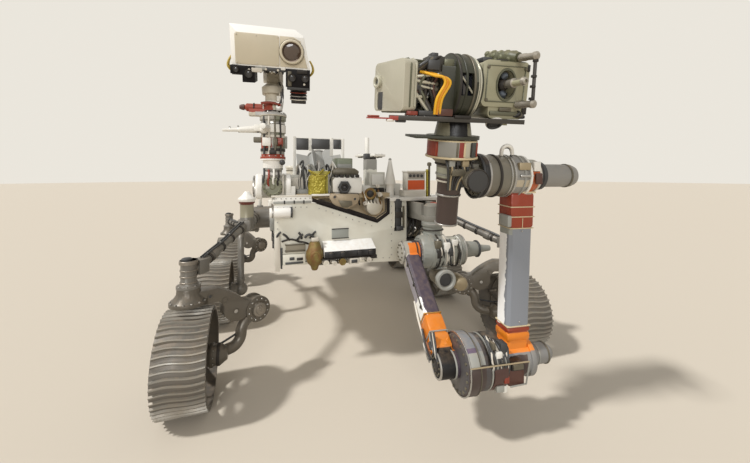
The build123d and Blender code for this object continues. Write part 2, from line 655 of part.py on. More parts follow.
# Mast yoke, which turns on the tube and carries the head's pivot
pivot_x = MAST_X - PIVOT_BACK
flange_z = MAST_TUBE_TOP + JOINT_GAP
cup_low = ACTUATOR_Z + 90
cup_top = cup_low + 44
yoke = turned((MAST_X, MAST_Y, flange_z), (MAST_X, MAST_Y, cup_top),
              [(0, YOKE_FLANGE_R), (18, YOKE_FLANGE_R), (18, YOKE_NECK_R + 6),
               (ACTUATOR_Z - flange_z + 30, YOKE_NECK_R + 6),
               (ACTUATOR_Z - flange_z + 40, YOKE_NECK_R), (cup_low - flange_z, YOKE_NECK_R),
               (cup_low - flange_z, YOKE_NECK_R + 18), (cup_top - flange_z, YOKE_NECK_R + 22)])
yoke += turned((MAST_X, MAST_Y + ACTUATOR_R, ACTUATOR_Z), (MAST_X, MAST_Y - ACTUATOR_REACH, ACTUATOR_Z),
               [(0, ACTUATOR_R), (ACTUATOR_REACH + ACTUATOR_R - 16, ACTUATOR_R),
                (ACTUATOR_REACH + ACTUATOR_R, ACTUATOR_R - 14)])
yoke += block(MAST_X - 30, MAST_X + 30, MAST_Y - 150, MAST_Y - 40, flange_z + 4, ACTUATOR_Z - 12)
neck_z = PIVOT_Z - PIVOT_R - 6
neck_x = pivot_x + 18
cup_face = Pos(MAST_X, MAST_Y, cup_top) * Circle(YOKE_NECK_R + 22)
neck_face = Pos(neck_x, MAST_Y, neck_z) * Circle(PIVOT_R + 1)
yoke += loft([cup_face, neck_face])
yoke += beam((neck_x, MAST_Y, neck_z - 8), (pivot_x, MAST_Y, PIVOT_Z), 2 * PIVOT_HALF - 14, 60)
yoke += rod((pivot_x, MAST_Y - PIVOT_HALF, PIVOT_Z), (pivot_x, MAST_Y + PIVOT_HALF, PIVOT_Z), PIVOT_R)
parts["mast_yoke"] = on_mast(yoke)

# Mast head: camera housing with its ears and its round window, in the head's own frame
head_corners = [(-HEAD_HALF_W, HEAD_LOW), (-HEAD_HALF_W, HEAD_HIGH), (HEAD_HALF_W * 0.6, HEAD_HIGH),
                (HEAD_HALF_W * 0.82, HEAD_HIGH - 33), (HEAD_HALF_W, HEAD_LOW)]
head = extrude(Plane.YZ * make_face(Polyline(*head_corners, close=True)), HEAD_FRONT - HEAD_BACK)
head = Pos(HEAD_BACK, 0, 0) * head
front_edges = head.edges().group_by(Axis.X)[-1]
head = chamfer([front_edges.sort_by(Axis.Z)[-1], front_edges.sort_by(Axis.Y)[0]], HEAD_EDGE)
for side in (-1, 1):
    near = side * (PIVOT_HALF + JOINT_GAP)
    ear = sorted((near, near + side * 24))
    head += rod((0, ear[0], 0), (0, ear[1], 0), PIVOT_R)
    head += block(-PIVOT_R, PIVOT_R, ear[0], ear[1], 0, HEAD_LOW + 5)
eye_back = (HEAD_FRONT - 5, EYE_SIDE, EYE_HEIGHT)
eye_front = (HEAD_FRONT + 20, EYE_SIDE, EYE_HEIGHT)
head += turned(eye_back, eye_front, [(0, EYE_R), (21, EYE_R), (25, EYE_R - 4), (25, EYE_R - 14),
                                     (13, EYE_R - 14)])
parts["mast_head"] = on_head(head)

# Camera bar under the head: two stepped blocks, a small row of eyes, and a ribbed drum
CAMERA_BLOCKS = [
    # X0, X1, Y0, Y1, lowest Z, in the head's own frame
    (100.0, 286.0, -HEAD_HALF_W, -165.0, 24.0),
    (100.0, 286.0, -165.0, -95.0, -22.0),
    (110.0, 130.0, -120.0, 110.0, 53.0),
    (100.0, 286.0, 85.0, HEAD_HALF_W, -35.0),
]
for n, (x0, x1, y0, y1, low) in enumerate(CAMERA_BLOCKS):
    piece = block(x0, x1, y0, y1, low, HEAD_LOW)
    camera_bar = piece if n == 0 else camera_bar + piece
ribs = [(0, 44), (6, 50)]
for n in range(5):
    ribs += [(10 + 16 * n, 54), (19 + 16 * n, 54), (19 + 16 * n, 49), (26 + 16 * n, 49)]
ribs += [(90, 54)]
camera_bar += turned((170, 165, -123), (170, 165, -33), ribs)
for eye_y, eye_z, radius in ((-198, 50, 17), (-128, 28, 24), (122, 22, 24), (200, 22, 24)):
    camera_bar += rod((280, eye_y, eye_z), (300, eye_y, eye_z), radius)
parts["camera_bar"] = on_head(camera_bar)


# Arm: every piece is made in the arm's plane and then turned about the shoulder's axis
def in_arm(shape):
    return Pos(ARM_X, ARM_Y, 0) * Rot(0, 0, ARM_YAW) * shape


def in_wrist(shape):
    """From the wrist's own frame, whose up leans forward, to its place on the rover."""
    return in_arm(Pos(WRIST_REACH, 0, WRIST_Z) * Rot(0, WRIST_PITCH, 0) * shape)


def arm_drum(reach, height, side_from, profile):
    """A turned drum across the arm, from (place, radius) pairs counted from one side."""
    return turned((reach, side_from, height), (reach, side_from + profile[-1][0], height), profile)


def arm_tube(start, end, side, width, height, end_cut):
    """Tube with flattened corners between two joints, whose far end stops short of the joint."""
    along = Vector(end[0] - start[0], 0, end[1] - start[1]).normalized()
    stop = (end[0] - along.X * end_cut, side, end[1] - along.Z * end_cut)
    tube = beam((start[0], side, start[1]), stop, width, height)
    long_edges = [e for e in tube.edges() if abs(e.tangent_at(0).dot(along)) > 0.99]
    return chamfer(long_edges, TUBE_EDGE)


bracket_low = AZ_DRUM_TOP + JOINT_GAP
bracket = block(corner_back, ARM_X, ARM_Y - 70, ARM_Y + 70, bracket_low, bracket_low + 34)
bracket += block(corner_back, ARM_X - 30, ARM_Y - 70, ARM_Y - 46, bracket_low, BODY_TOP - 5)
bracket += block(corner_back, ARM_X - 30, ARM_Y + 46, ARM_Y + 70, bracket_low, BODY_TOP - 5)
bracket += turned((ARM_X, ARM_Y, bracket_low), (ARM_X, ARM_Y, BODY_TOP - 5),
                  [(0, AZ_DRUM_R), (34, AZ_DRUM_R), (34, AZ_DRUM_R - 14), (100, AZ_DRUM_R - 14),
                   (BODY_TOP - 5 - bracket_low, 40)])
parts["arm_bracket"] = bracket

lift_profile = [(0, LIFT_DRUM_R - 6), (10, LIFT_DRUM_R), (60, LIFT_DRUM_R), (60, LIFT_DRUM_R + 6),
                (84, LIFT_DRUM_R + 6),
                (84, LIFT_DRUM_R), (172, LIFT_DRUM_R), (172, LIFT_DRUM_R * 0.84), (262, LIFT_DRUM_R * 0.84),
                (262, LIFT_DRUM_R * 0.91), (297, LIFT_DRUM_R * 0.91), (297, DRIVE_END_R),
                (422, DRIVE_END_R - 10),
                (422, 28), (505, 18)]
shoulder = turned((0, 0, LIFT_Z + 70), (0, 0, AZ_DRUM_TOP),
                  [(0, AZ_DRUM_R - 8), (90, AZ_DRUM_R - 8), (90, AZ_DRUM_R),
                   (AZ_DRUM_TOP - LIFT_Z - 70, AZ_DRUM_R)])
shoulder += arm_drum(LIFT_REACH, LIFT_Z, -SHOULDER_SIDE, lift_profile)
shoulder += turned((LIFT_REACH - 60, 35, LIFT_Z - 165), (LIFT_REACH + 80, 35, LIFT_Z - 165),
                   [(0, 46), (20, 58), (140, 58)])
shoulder += block(LIFT_REACH - 45, LIFT_REACH + 35, 0, 70, LIFT_Z - 150, LIFT_Z - 60)
parts["arm_shoulder"] = in_arm(shoulder)

upper = arm_tube((LIFT_REACH, LIFT_Z), (ELBOW_REACH, ELBOW_Z), UPPER_SIDE, UPPER_TUBE_W, UPPER_TUBE, 34)
shoulder_run = -SHOULDER_SIDE - JOINT_GAP
upper += arm_drum(LIFT_REACH, LIFT_Z, -234, [(0, 62), (8, 70), (shoulder_run + 234, 70)])
elbow_side = UPPER_SIDE + UPPER_TUBE_W / 2
upper += arm_drum(ELBOW_REACH, ELBOW_Z, -224, [(0, 52), (10, 61), (elbow_side - JOINT_GAP + 224, 61)])
parts["upper_arm"] = in_arm(upper)

elbow = arm_drum(ELBOW_REACH, ELBOW_Z, elbow_side + JOINT_GAP,
                 [(0, ELBOW_DRUM_R - 6), (14, ELBOW_DRUM_R + 14), (60, ELBOW_DRUM_R + 14),
                  (60, ELBOW_DRUM_R),
                  (120, ELBOW_DRUM_R), (120, ELBOW_DRUM_R - 8), (136, ELBOW_DRUM_R - 8),
                  (136, ELBOW_DRUM_R), (206, ELBOW_DRUM_R)])
parts["elbow_drive"] = in_arm(elbow)

elbow_end = elbow_side + JOINT_GAP + 206
fore = arm_tube((WRIST_REACH, WRIST_Z), (ELBOW_REACH, ELBOW_Z), FORE_SIDE, FORE_TUBE_W, FORE_TUBE, 0)
fore += arm_drum(ELBOW_REACH, ELBOW_Z, elbow_end,
                 [(0, 96), (30, 96), (30, 84), (150, 84), (150, 94), (174, 94), (174, ELBOW_MOTOR_R),
                  (ELBOW_MOTOR_END - 27, ELBOW_MOTOR_R), (ELBOW_MOTOR_END - 20, ELBOW_MOTOR_R - 6),
                  (ELBOW_MOTOR_END, ELBOW_MOTOR_R - 20)])
fore += arm_drum(WRIST_REACH, WRIST_Z, WRIST_SIDE,
                 [(0, WRIST_DRUM_R), (64, WRIST_DRUM_R), (64, WRIST_DRUM_R - 6), (120, WRIST_DRUM_R - 16),
                  (194, 62),
                  (194, DRIVE_END_R), (360, DRIVE_END_R), (382, DRIVE_END_R - 8)])
parts["forearm"] = in_arm(fore)

# Wrist drive: drum across the arm, and the column that carries the turret
wrist = turned((0, -56, 0), (0, WRIST_SIDE - JOINT_GAP, 0),
               [(0, WRIST_DRUM_R - 4), (8, WRIST_DRUM_R + 7), (24, WRIST_DRUM_R + 7), (24, WRIST_DRUM_R),
                (WRIST_SIDE - JOINT_GAP + 56, WRIST_DRUM_R)])
wrist += block(-48, 48, TURRET_SIDE, -40, -46, 62)
column_low = -230.0
column = [(0, 42), (8, 50), (150, 50), (150, 54), (214, 54), (214, 60), (290, 64),
          (COLUMN_LOW - column_low, COLUMN_R * 0.9),
          (COLUMN_LOW - column_low, COLUMN_R), (TURRET_BASE - column_low - 10, COLUMN_R),
          (TURRET_BASE - column_low, COLUMN_R - 8)]
wrist += turned((0, TURRET_SIDE, column_low), (0, TURRET_SIDE, TURRET_BASE), column)
wrist += turned((0, -104, 0), (128, -104, 0), [(0, 48), (108, 48), (128, 44)])
parts["wrist_drive"] = in_wrist(wrist)

# Turret core: base plate, a flat-faced box and a round drum with a window
base_z = TURRET_BASE + JOINT_GAP
core = turned((0, TURRET_SIDE, base_z), (0, TURRET_SIDE, base_z + 90),
              [(0, COLUMN_R + 6), (16, COLUMN_R + 6), (16, 84), (90, 70)])
core += block(-40, 108, -390, TURRET_SIDE, base_z + 4, base_z + 14)
core += turned((0, CORE_SIDE[0], CORE_Z), (0, CORE_SIDE[1], CORE_Z),
               [(0, CORE_R), (84, CORE_R), (84, CORE_R - 6), (CORE_SIDE[1] - CORE_SIDE[0], CORE_R - 18)])
core += soft_block(-100, 92, CORE_SIDE[0] - 60, CORE_SIDE[0], CORE_Z - 125, CORE_Z + 84, 10, Axis.Y)
core -= block(104, CORE_R + 5, CORE_SIDE[0] + 10, CORE_SIDE[0] + 66, CORE_Z - 40, CORE_Z + 50)
parts["turret_core"] = in_wrist(core)

# Coring drill: a rounded box with an oval mouth, a rough drum on top and its prongs
drill = soft_block(DRILL_BACK, DRILL_FACE - 14, *DRILL_SIDE, *DRILL_Z, 34, Axis.X)
drill += soft_block(DRILL_FACE - 14, DRILL_FACE, DRILL_SIDE[0] + 6, DRILL_SIDE[1], DRILL_Z[0], DRILL_Z[1],
                    26, Axis.X)
drill += soft_block(DRILL_BACK + 30, DRILL_FACE - 6, -66, 106, DRILL_Z[0] - 50, DRILL_Z[0] + 40, 24, Axis.X)
mouth = extrude(Plane.YZ * (Pos(6, 412) * Ellipse(41, 60)), 140)
drill -= Pos(DRILL_FACE - 70, 0, 0) * mouth
drill += turned((-75, 4, 548), (98, 54, 524), [(0, 22), (8, 28), (150, 31), (178, 24)])
PRONGS = [
    # X0, Y0, Z0, X1, Y1, Z1, radius
    (80.0, 52.0, 524.0, 200.0, 60.0, 518.0, 12.0),
    (10.0, 8.0, 412.0, 200.0, 18.0, 418.0, 14.0),
    (60.0, 60.0, 330.0, 200.0, 70.0, 332.0, 12.0),
    (194.0, 60.0, 518.0, 194.0, 70.0, 332.0, 7.0),
]
for x0, y0, z0, x1, y1, z1, radius in PRONGS:
    drill += rod((x0, y0, z0), (x1, y1, z1), radius)
drill += rod((30, 34, DRILL_Z[0] - 78), (30, 34, DRILL_Z[0] - 40), 32)
parts["coring_drill"] = in_wrist(drill - core)

# Sensor head: a shallow box with a flat face turned aside, its lens and its slot
sensor = soft_block(-SENSOR_HALF_W, SENSOR_HALF_W, 0, SENSOR_DEPTH, *SENSOR_Z, 24, Axis.Y)
sensor += soft_block(-70, 96, SENSOR_DEPTH, SENSOR_DEPTH + 74, SENSOR_Z[0] + 40, SENSOR_Z[1] - 4, 10,
                     Axis.Y)
lens_x = -84.0
lens_z = 410.0
sensor += turned((lens_x, -8, lens_z), (lens_x, 10, lens_z), [(0, 22), (4, 26), (18, 26)])
sensor -= rod((lens_x, -10, lens_z), (lens_x, 4, lens_z), 15)
sensor -= soft_block(lens_x - 9, lens_x + 13, -5, 26, 296, 360, 6, Axis.Y)
sensor = Pos(*SENSOR_PLACE, 0) * Rot(0, 0, SENSOR_TURN) * sensor
parts["sensor_head"] = in_wrist(sensor)

# Turret frame: long base plate, back plate and struts between the core and the sensor head
frame = block(30, 104, -488, 108, 247, 267)
frame += block(-70, -46, -380, CORE_SIDE[0] - 50, 290, 470)
frame += block(10, 84, -345, CORE_SIDE[0] - 50, 436, 508)
FRAME_STRUTS = [
    # X0, Y0, Z0, X1, Y1, Z1
    (70.0, -300.0, 262.0, 60.0, -400.0, 420.0),
    (60.0, -280.0, 380.0, 60.0, -400.0, 420.0),
    (62.0, -300.0, 258.0, 62.0, -300.0, 450.0),
    (60.0, -300.0, 300.0, -60.0, -330.0, 300.0),
]
for x0, y0, z0, x1, y1, z1 in FRAME_STRUTS:
    frame += rod((x0, y0, z0), (x1, y1, z1), 11)
frame += block(60, 90, -590, -470, 250, 256)
parts["turret_frame"] = in_wrist(frame - core - sensor - drill)

# Power unit: finned drum, tilted up at the back
tilt = radians(POWER_TILT)
power_low = Vector(POWER_X, 0, POWER_Z)
power_high = power_low + Vector(-cos(tilt), 0, sin(tilt)) * POWER_LENGTH
power = turned(tuple(power_low), tuple(power_high),
               [(0, POWER_R * 0.6), (34, POWER_R), (POWER_LENGTH - 40, POWER_R),
                (POWER_LENGTH - 40, POWER_R * 1.06),
                (POWER_LENGTH - 16, POWER_R * 1.06), (POWER_LENGTH, POWER_R * 0.8)])
power_plane = Plane(origin=power_low, x_dir=(0, 1, 0), z_dir=power_high - power_low)
root_r = POWER_R - 20
fin_corners = [(root_r, 60), (POWER_FIN_R, 96), (POWER_FIN_R, POWER_LENGTH - 90),
               (root_r, POWER_LENGTH - 54)]
fin = extrude(Plane.XZ * make_face(Polyline(*fin_corners, close=True)), FIN_THICK / 2, both=True)
for n in range(FIN_COUNT):
    power += power_plane * Rot(0, 0, (n + 0.5) * 360 / FIN_COUNT) * fin
parts["power_unit"] = power

# Cradle that holds the power unit: a foot on the body's rear face and a heat plate on each side
cradle = block(BODY_REAR - 60, BODY_REAR, -340, 340, BODY_BOTTOM + 60, DECK_TOP - 60)
wing_corners = [(BODY_REAR, BODY_BOTTOM + 40), (BODY_REAR, BODY_TOP), (BODY_REAR - 40, BODY_TOP),
                (BODY_REAR - 180, DECK_TOP + 60),
                (BODY_REAR - 340, DECK_TOP - 110), (BODY_REAR - 270, BODY_BOTTOM + 100)]
for side_from in (-352, 340):
    wing = extrude(Plane.XZ * make_face(Polyline(*wing_corners, close=True)), -12)
    cradle += Pos(0, side_from, 0) * wing
cradle += rod((BODY_REAR - 75, 0, POWER_Z - 70), tuple(power_low), 88, 70)
parts["power_cradle"] = cradle - power

# Antennas: the post with the slim antenna beside it, the turning yoke, the six-sided dish, and the drum
antenna_post = turned((DISH_X, DISH_Y, DECK_TOP), (DISH_X, DISH_Y, DISH_POST_TOP),
                      [(0, 72), (12, 72), (12, 54), (DISH_POST_TOP - DECK_TOP, 54)])
antenna_post += block(WHIP_X - 30, DISH_X, WHIP_Y - 28, WHIP_Y + 28, DECK_TOP, DECK_TOP + 8)
whip_rise = WHIP_TOP - DECK_TOP
antenna_post += turned((WHIP_X, WHIP_Y, DECK_TOP), (WHIP_X, WHIP_Y, WHIP_TOP),
                       [(0, 26), (20, 26), (20, 14), (whip_rise - 200, 14), (whip_rise - 190, 27),
                        (whip_rise, 27)])
parts["antenna_post"] = antenna_post
turn_low = DISH_POST_TOP + JOINT_GAP
turn = turned((DISH_X, DISH_Y, turn_low), (DISH_X, DISH_Y, turn_low + 50), [(0, 60), (34, 60), (50, 44)])
turn += block(DISH_X - 25, DISH_X + 25, DISH_Y - 30, DISH_Y + 30, turn_low + 40, DISH_PIVOT_Z)
turn += rod((DISH_X, DISH_Y - 30, DISH_PIVOT_Z), (DISH_X, DISH_Y + 30, DISH_PIVOT_Z), 30)
parts["antenna_yoke"] = turn
dish_z0 = DISH_PIVOT_Z + 38
dish = extrude(Pos(DISH_X, DISH_Y, dish_z0) * RegularPolygon(DISH_R, 6), DISH_THICK)
dish += extrude(Pos(DISH_X, DISH_Y, dish_z0 - 4) * RegularPolygon(DISH_R * 0.55, 6), 6)
for side in (-1, 1):
    near = DISH_Y + side * (30 + JOINT_GAP)
    ear = sorted((near, near + side * 18))
    dish += block(DISH_X - 25, DISH_X + 25, ear[0], ear[1], DISH_PIVOT_Z - 25, dish_z0 + 5)
parts["antenna_dish"] = dish
parts["radio_antenna"] = turned((UHF_X, UHF_Y, DECK_TOP), (UHF_X, UHF_Y, UHF_TOP),
                                [(0, 96), (16, 96), (16, 78), (UHF_TOP - DECK_TOP - 24, 78),
                                 (UHF_TOP - DECK_TOP - 24, 92), (UHF_TOP - DECK_TOP, 88)])

# Origin at the centre of the footprint box, on the ground
low_corner = [min(tuple(s.bounding_box().min)[n] for s in parts.values()) for n in range(2)]
high_corner = [max(tuple(s.bounding_box().max)[n] for s in parts.values()) for n in range(2)]
CENTRE_X = (low_corner[0] + high_corner[0]) / 2
CENTRE_Y = (low_corner[1] + high_corner[1]) / 2

os.makedirs("parts", exist_ok=True)
for name, shape in parts.items():
    export_step(Pos(-CENTRE_X, -CENTRE_Y, 0) * shape, "parts/" + name + ".step")
print("pieces", len(parts), "centre", round(CENTRE_X, 2), round(CENTRE_Y, 2))
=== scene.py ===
"""Planetary rover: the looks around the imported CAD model.

Sizes in the classes are millimetres from the ground under the middle axle, on the
centre line, and every finished piece is in metres at its place in the CAD frame.
"""

import json
import logging
from dataclasses import dataclass
from enum import Enum
from math import cos, pi, radians, sin, sqrt

import bpy
from mathutils import Matrix, Vector

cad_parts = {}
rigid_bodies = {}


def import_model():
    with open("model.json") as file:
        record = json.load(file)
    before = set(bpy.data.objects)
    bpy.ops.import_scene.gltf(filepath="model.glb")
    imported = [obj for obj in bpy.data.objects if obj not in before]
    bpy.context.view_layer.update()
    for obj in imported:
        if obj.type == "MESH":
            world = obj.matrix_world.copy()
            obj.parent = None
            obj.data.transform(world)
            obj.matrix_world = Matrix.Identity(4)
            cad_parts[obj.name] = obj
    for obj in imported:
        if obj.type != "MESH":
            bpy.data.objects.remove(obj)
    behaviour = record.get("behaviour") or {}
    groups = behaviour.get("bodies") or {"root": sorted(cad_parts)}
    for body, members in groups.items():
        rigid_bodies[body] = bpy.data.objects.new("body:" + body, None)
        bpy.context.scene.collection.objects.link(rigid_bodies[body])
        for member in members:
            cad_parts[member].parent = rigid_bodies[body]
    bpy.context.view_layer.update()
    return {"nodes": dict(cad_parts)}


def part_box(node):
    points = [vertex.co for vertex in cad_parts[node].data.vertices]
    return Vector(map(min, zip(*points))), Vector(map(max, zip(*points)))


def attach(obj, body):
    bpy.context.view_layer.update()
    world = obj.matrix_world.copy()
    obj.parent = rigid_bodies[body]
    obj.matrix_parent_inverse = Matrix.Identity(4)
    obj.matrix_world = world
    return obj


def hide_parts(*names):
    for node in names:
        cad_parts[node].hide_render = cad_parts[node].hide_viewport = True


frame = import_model()
LOG = logging.getLogger("rover")
Colour = tuple[float, float, float]
Point = tuple[float, float, float]
Profile = list[tuple[float, float]]
Piece = bpy.types.Object
Tree = bpy.types.NodeTree
Socket = bpy.types.NodeSocket
DUST: Colour = (0.50, 0.35, 0.21)
METRES = 0.001
SMOOTH_ANGLE, TUBE_ANGLE = 32.0, 40.0
COARSE_BUMP, FINE_BUMP = 0.006, 0.001
RAGGED_SIZE = 0.004
GOLDEN_ANGLE = 2.39996


def feed(tree: Tree, node: bpy.types.Node, inputs: dict[int | str, object]) -> None:
    """Gives a node's inputs what they need: another node's output is linked, and a constant is set.

    Args:
        tree: The tree that has the node.
        node: The node.
        inputs: The output or the constant for each input.
    """
    for key, value in inputs.items():
        if isinstance(value, Socket):
            tree.links.new(value, node.inputs[key])
        else:
            node.inputs[key].default_value = value


def add_node(tree: Tree, kind: str, inputs: dict[int | str, object], output: int | str = 0,
             **settings: str) -> Socket:
    """Adds a shader node and feeds it.

    Args:
        tree: The tree that gets the node.
        kind: The node's type, without the word ShaderNode.
        inputs: The output or the constant for each input.
        output: Which of its outputs is wanted.
        settings: The node's own settings.

    Returns:
        The wanted output.
    """
    node = tree.nodes.new("ShaderNode" + kind)
    for key, value in settings.items():
        setattr(node, key, value)
    feed(tree, node, inputs)
    return node.outputs[output]


def noise(tree: Tree, coords: Socket, scale: float, detail: float, output: int | str = 0) -> Socket:
    """Adds a noise pattern."""
    return add_node(tree, "TexNoise", {"Vector": coords, "Scale": scale, "Detail": detail}, output)


def ramp(tree: Tree, value: Socket, low: float, high: float) -> Socket:
    """Stretches a value so that low becomes 0 and high becomes 1."""
    return add_node(tree, "MapRange", {"Value": value, "From Min": low, "From Max": high})


def maths(tree: Tree, operation: str, one: Socket, other: Socket | float) -> Socket:
    """Joins a value and another value or a number by an operation."""
    return add_node(tree, "Math", {0: one, 1: other}, operation=operation)


def vector_maths(tree: Tree, operation: str, *inputs: Socket | Point) -> Socket:
    """Joins vectors by an operation."""
    return add_node(tree, "VectorMath", dict(enumerate(inputs)), operation=operation)


def mixed(tree: Tree, share: Socket, base: Colour | Socket, other: Colour) -> Socket:
    """Mixes a colour, or the colour from a socket, with another colour."""
    start = (*base, 1.0) if isinstance(base, tuple) else base
    return add_node(tree, "Mix", {0: share, 6: start, 7: (*other, 1.0)}, 2, data_type="RGBA")


class Kind(Enum):
    """How a finish's surface is patterned."""

    PAINT = "paint"
    METAL = "metal"
    FOIL = "foil"
    TAPE = "tape"
    GLASS = "glass"


@dataclass(frozen=True)
class Patch:
    """A painted, worn or taped area, or a painted highlight: a box in a place's own axes, with a ragged
    edge.
    """

    place: Matrix
    centre: Point
    half: Point
    colour: Colour
    ragged: float = 4.0
    share: float = 1.0


@dataclass(frozen=True)
class Finish:
    """One finish: its colours, gloss, patches, dust and fine bump."""

    name: str
    colour: Colour
    patch: Colour
    kind: Kind = Kind.PAINT
    metallic: float = 0.0
    roughness: float = 0.5
    patch_scale: float = 9.0
    patch_share: float = 0.35
    grain_scale: float = 180.0
    bump: float = 0.15
    dust: float = 0.22
    shine: float = 0.5
    areas: tuple[Patch, ...] = ()

    def build(self) -> bpy.types.Material:
        """Makes the node material once and gives it back after that.

        Returns:
            The material with this finish's name.
        """
        known = bpy.data.materials.get(self.name)
        if known is not None:
            return known
        material = bpy.data.materials.new(self.name)
        material.use_nodes = True
        tree = material.node_tree
        coords = add_node(tree, "TexCoord", {}, "Object")
        patches = ramp(tree, noise(tree, coords, self.patch_scale, 5.0), 0.3, 0.72)
        colour = mixed(tree, maths(tree, "MULTIPLY", patches, self.patch_share), self.colour, self.patch)
        for area in self.areas:
            colour = mixed(tree, self.area_mask(tree, coords, area), colour, area.colour)
        if self.dust:
            colour = self.dusted(tree, coords, colour)
        smoothest, roughest = max(self.roughness - 0.12, 0.02), min(self.roughness + 0.14, 1.0)
        roughness = add_node(tree, "MapRange", {"Value": patches, "To Min": smoothest, "To Max": roughest})
        depth = COARSE_BUMP if self.kind in (Kind.FOIL, Kind.TAPE) else FINE_BUMP
        normal = add_node(tree, "Bump", {"Strength": self.bump, "Distance": depth,
                                         "Height": self.grain(tree, coords)})
        shader = tree.nodes["Principled BSDF"]
        feed(tree, shader, {"Base Color": colour, "Metallic": self.metallic, "Roughness": roughness,
                            "Specular IOR Level": self.shine, "Normal": normal})
        if self.kind is Kind.GLASS:
            feed(tree, shader, {"Coat Weight": 1.0, "Coat Roughness": 0.03})
        return material

    def dusted(self, tree: Tree, coords: Socket, colour: Socket) -> Socket:
        """Lays speckled dust on what faces up.

        Args:
            tree: The material's nodes.
            coords: Object coordinates.
            colour: The colour without dust.

        Returns:
            The colour with dust.
        """
        normal = add_node(tree, "NewGeometry", {}, "Normal")
        up = ramp(tree, add_node(tree, "SeparateXYZ", {0: normal}, "Z"), 0.15, 1.0)
        speckle = ramp(tree, noise(tree, coords, 38.0, 8.0), 0.38, 0.7)
        both = maths(tree, "MULTIPLY", up, speckle)
        return mixed(tree, maths(tree, "MULTIPLY", both, self.dust), colour, DUST)

    @staticmethod
    def area_mask(tree: Tree, coords: Socket, area: Patch) -> Socket:
        """Gives 1 inside an area's box and 0 outside, with a ragged edge.

        Args:
            tree: The material's nodes.
            coords: Object coordinates.
            area: The box and its edge.

        Returns:
            The mask's value.
        """
        size = area.ragged * RAGGED_SIZE
        centred = vector_maths(tree, "SUBTRACT", coords, (size / 2, size / 2, size / 2))
        wave = noise(tree, coords, 26.0, 6.0, "Color")
        shifted = vector_maths(tree, "MULTIPLY_ADD", wave, (size, size, size), centred)
        back = (area.place @ Matrix.Translation(Vector(area.centre) * METRES)).inverted()
        local = add_node(tree, "Mapping", {"Vector": shifted, "Location": back.to_translation(),
                                           "Rotation": back.to_euler()})
        shares = vector_maths(tree, "DIVIDE", local, tuple(half * METRES for half in area.half))
        whole = vector_maths(tree, "ABSOLUTE", shares)
        x, y, z = add_node(tree, "SeparateXYZ", {0: whole}).node.outputs
        most = maths(tree, "MAXIMUM", maths(tree, "MAXIMUM", x, y), z)
        return maths(tree, "MULTIPLY", ramp(tree, most, 1.01, 0.99), area.share)

    def grain(self, tree: Tree, coords: Socket) -> Socket:
        """Makes the fine height pattern of this kind of surface.

        Args:
            tree: The material's nodes.
            coords: Object coordinates.

        Returns:
            The pattern's height.
        """
        if self.kind in (Kind.FOIL, Kind.TAPE):
            return add_node(tree, "TexVoronoi", {"Vector": coords, "Scale": self.grain_scale}, "Distance",
                            feature="F1")
        if self.kind is Kind.METAL:
            stretched = add_node(tree, "Mapping", {"Vector": coords, "Scale": (1.0, 1.0, 6.0)})
            return noise(tree, stretched, self.grain_scale, 3.0)
        return noise(tree, coords, self.grain_scale, 4.0)


WHITE = Finish("white_thermal_paint", (0.74, 0.72, 0.66), (0.6, 0.55, 0.47), roughness=0.55, dust=0.15)
CAST = Finish("cast_olive", (0.13, 0.115, 0.08), (0.07, 0.06, 0.045), Kind.METAL, 0.3, 0.45)
BEIGE = Finish("beige_paint", (0.37, 0.345, 0.28), (0.27, 0.25, 0.195), roughness=0.45)
TAN = Finish("tan_lining", (0.56, 0.46, 0.3), (0.4, 0.32, 0.2), roughness=0.6)
RED = Finish("red_tape", (0.24, 0.032, 0.014), (0.14, 0.03, 0.02), Kind.TAPE, 0.0, 0.42, grain_scale=45.0,
             bump=0.5)
DARK = Finish("dark_anodised", (0.028, 0.025, 0.023), (0.06, 0.05, 0.04), Kind.METAL, 0.15, 0.5, dust=0.1,
              shine=0.25)
BLACK = Finish("black_paint", (0.005, 0.005, 0.006), (0.012, 0.011, 0.01), roughness=0.5, dust=0.03,
               shine=0.15)
DRIVE = Finish("machined_drive", (0.24, 0.215, 0.18), (0.13, 0.11, 0.09), Kind.METAL, 0.55, 0.38)
OLIVE = Finish("olive_paint", (0.2, 0.2, 0.13), (0.12, 0.12, 0.08), roughness=0.45)
TREAD = Finish("dusty_tread", (0.222, 0.211, 0.185), (0.266, 0.222, 0.163), Kind.METAL, 0.35, 0.42,
               patch_share=0.5)
STEEL = Finish("bright_steel", (0.42, 0.41, 0.39), (0.3, 0.28, 0.25), Kind.METAL, 0.8, 0.3, dust=0.1)
GOLD = Finish("gold_foil", (0.55, 0.3, 0.07), (0.3, 0.13, 0.03), Kind.FOIL, 0.6, 0.35, grain_scale=60.0,
              bump=0.7)
GLASS = Finish("lens_glass", (0.006, 0.007, 0.012), (0.012, 0.012, 0.02), Kind.GLASS, 0.0, 0.06, bump=0.0,
               dust=0.0)
PALE = Finish("pale_ring", (0.6, 0.56, 0.48), (0.46, 0.4, 0.32), roughness=0.5)
SKIN = Finish("wheel_skin", (0.125, 0.115, 0.1), (0.17, 0.14, 0.105), Kind.METAL, 0.35, 0.5,
              patch_share=0.5)
LEG = Finish("cast_leg", (0.115, 0.1, 0.078), (0.07, 0.06, 0.048), Kind.METAL, 0.3, 0.4)
TUBES = Finish("suspension_tubes", (0.165, 0.155, 0.135), (0.11, 0.095, 0.08), Kind.METAL, 0.3, 0.4)
HAZE = Finish("haze_grey_paint", (0.3, 0.3, 0.27), (0.22, 0.21, 0.18), roughness=0.5)
BRASS = Finish("dull_brass", (0.2, 0.165, 0.045), (0.17, 0.06, 0.022), Kind.METAL, 0.4, 0.5,
               patch_scale=26.0, patch_share=0.9, bump=0.6)
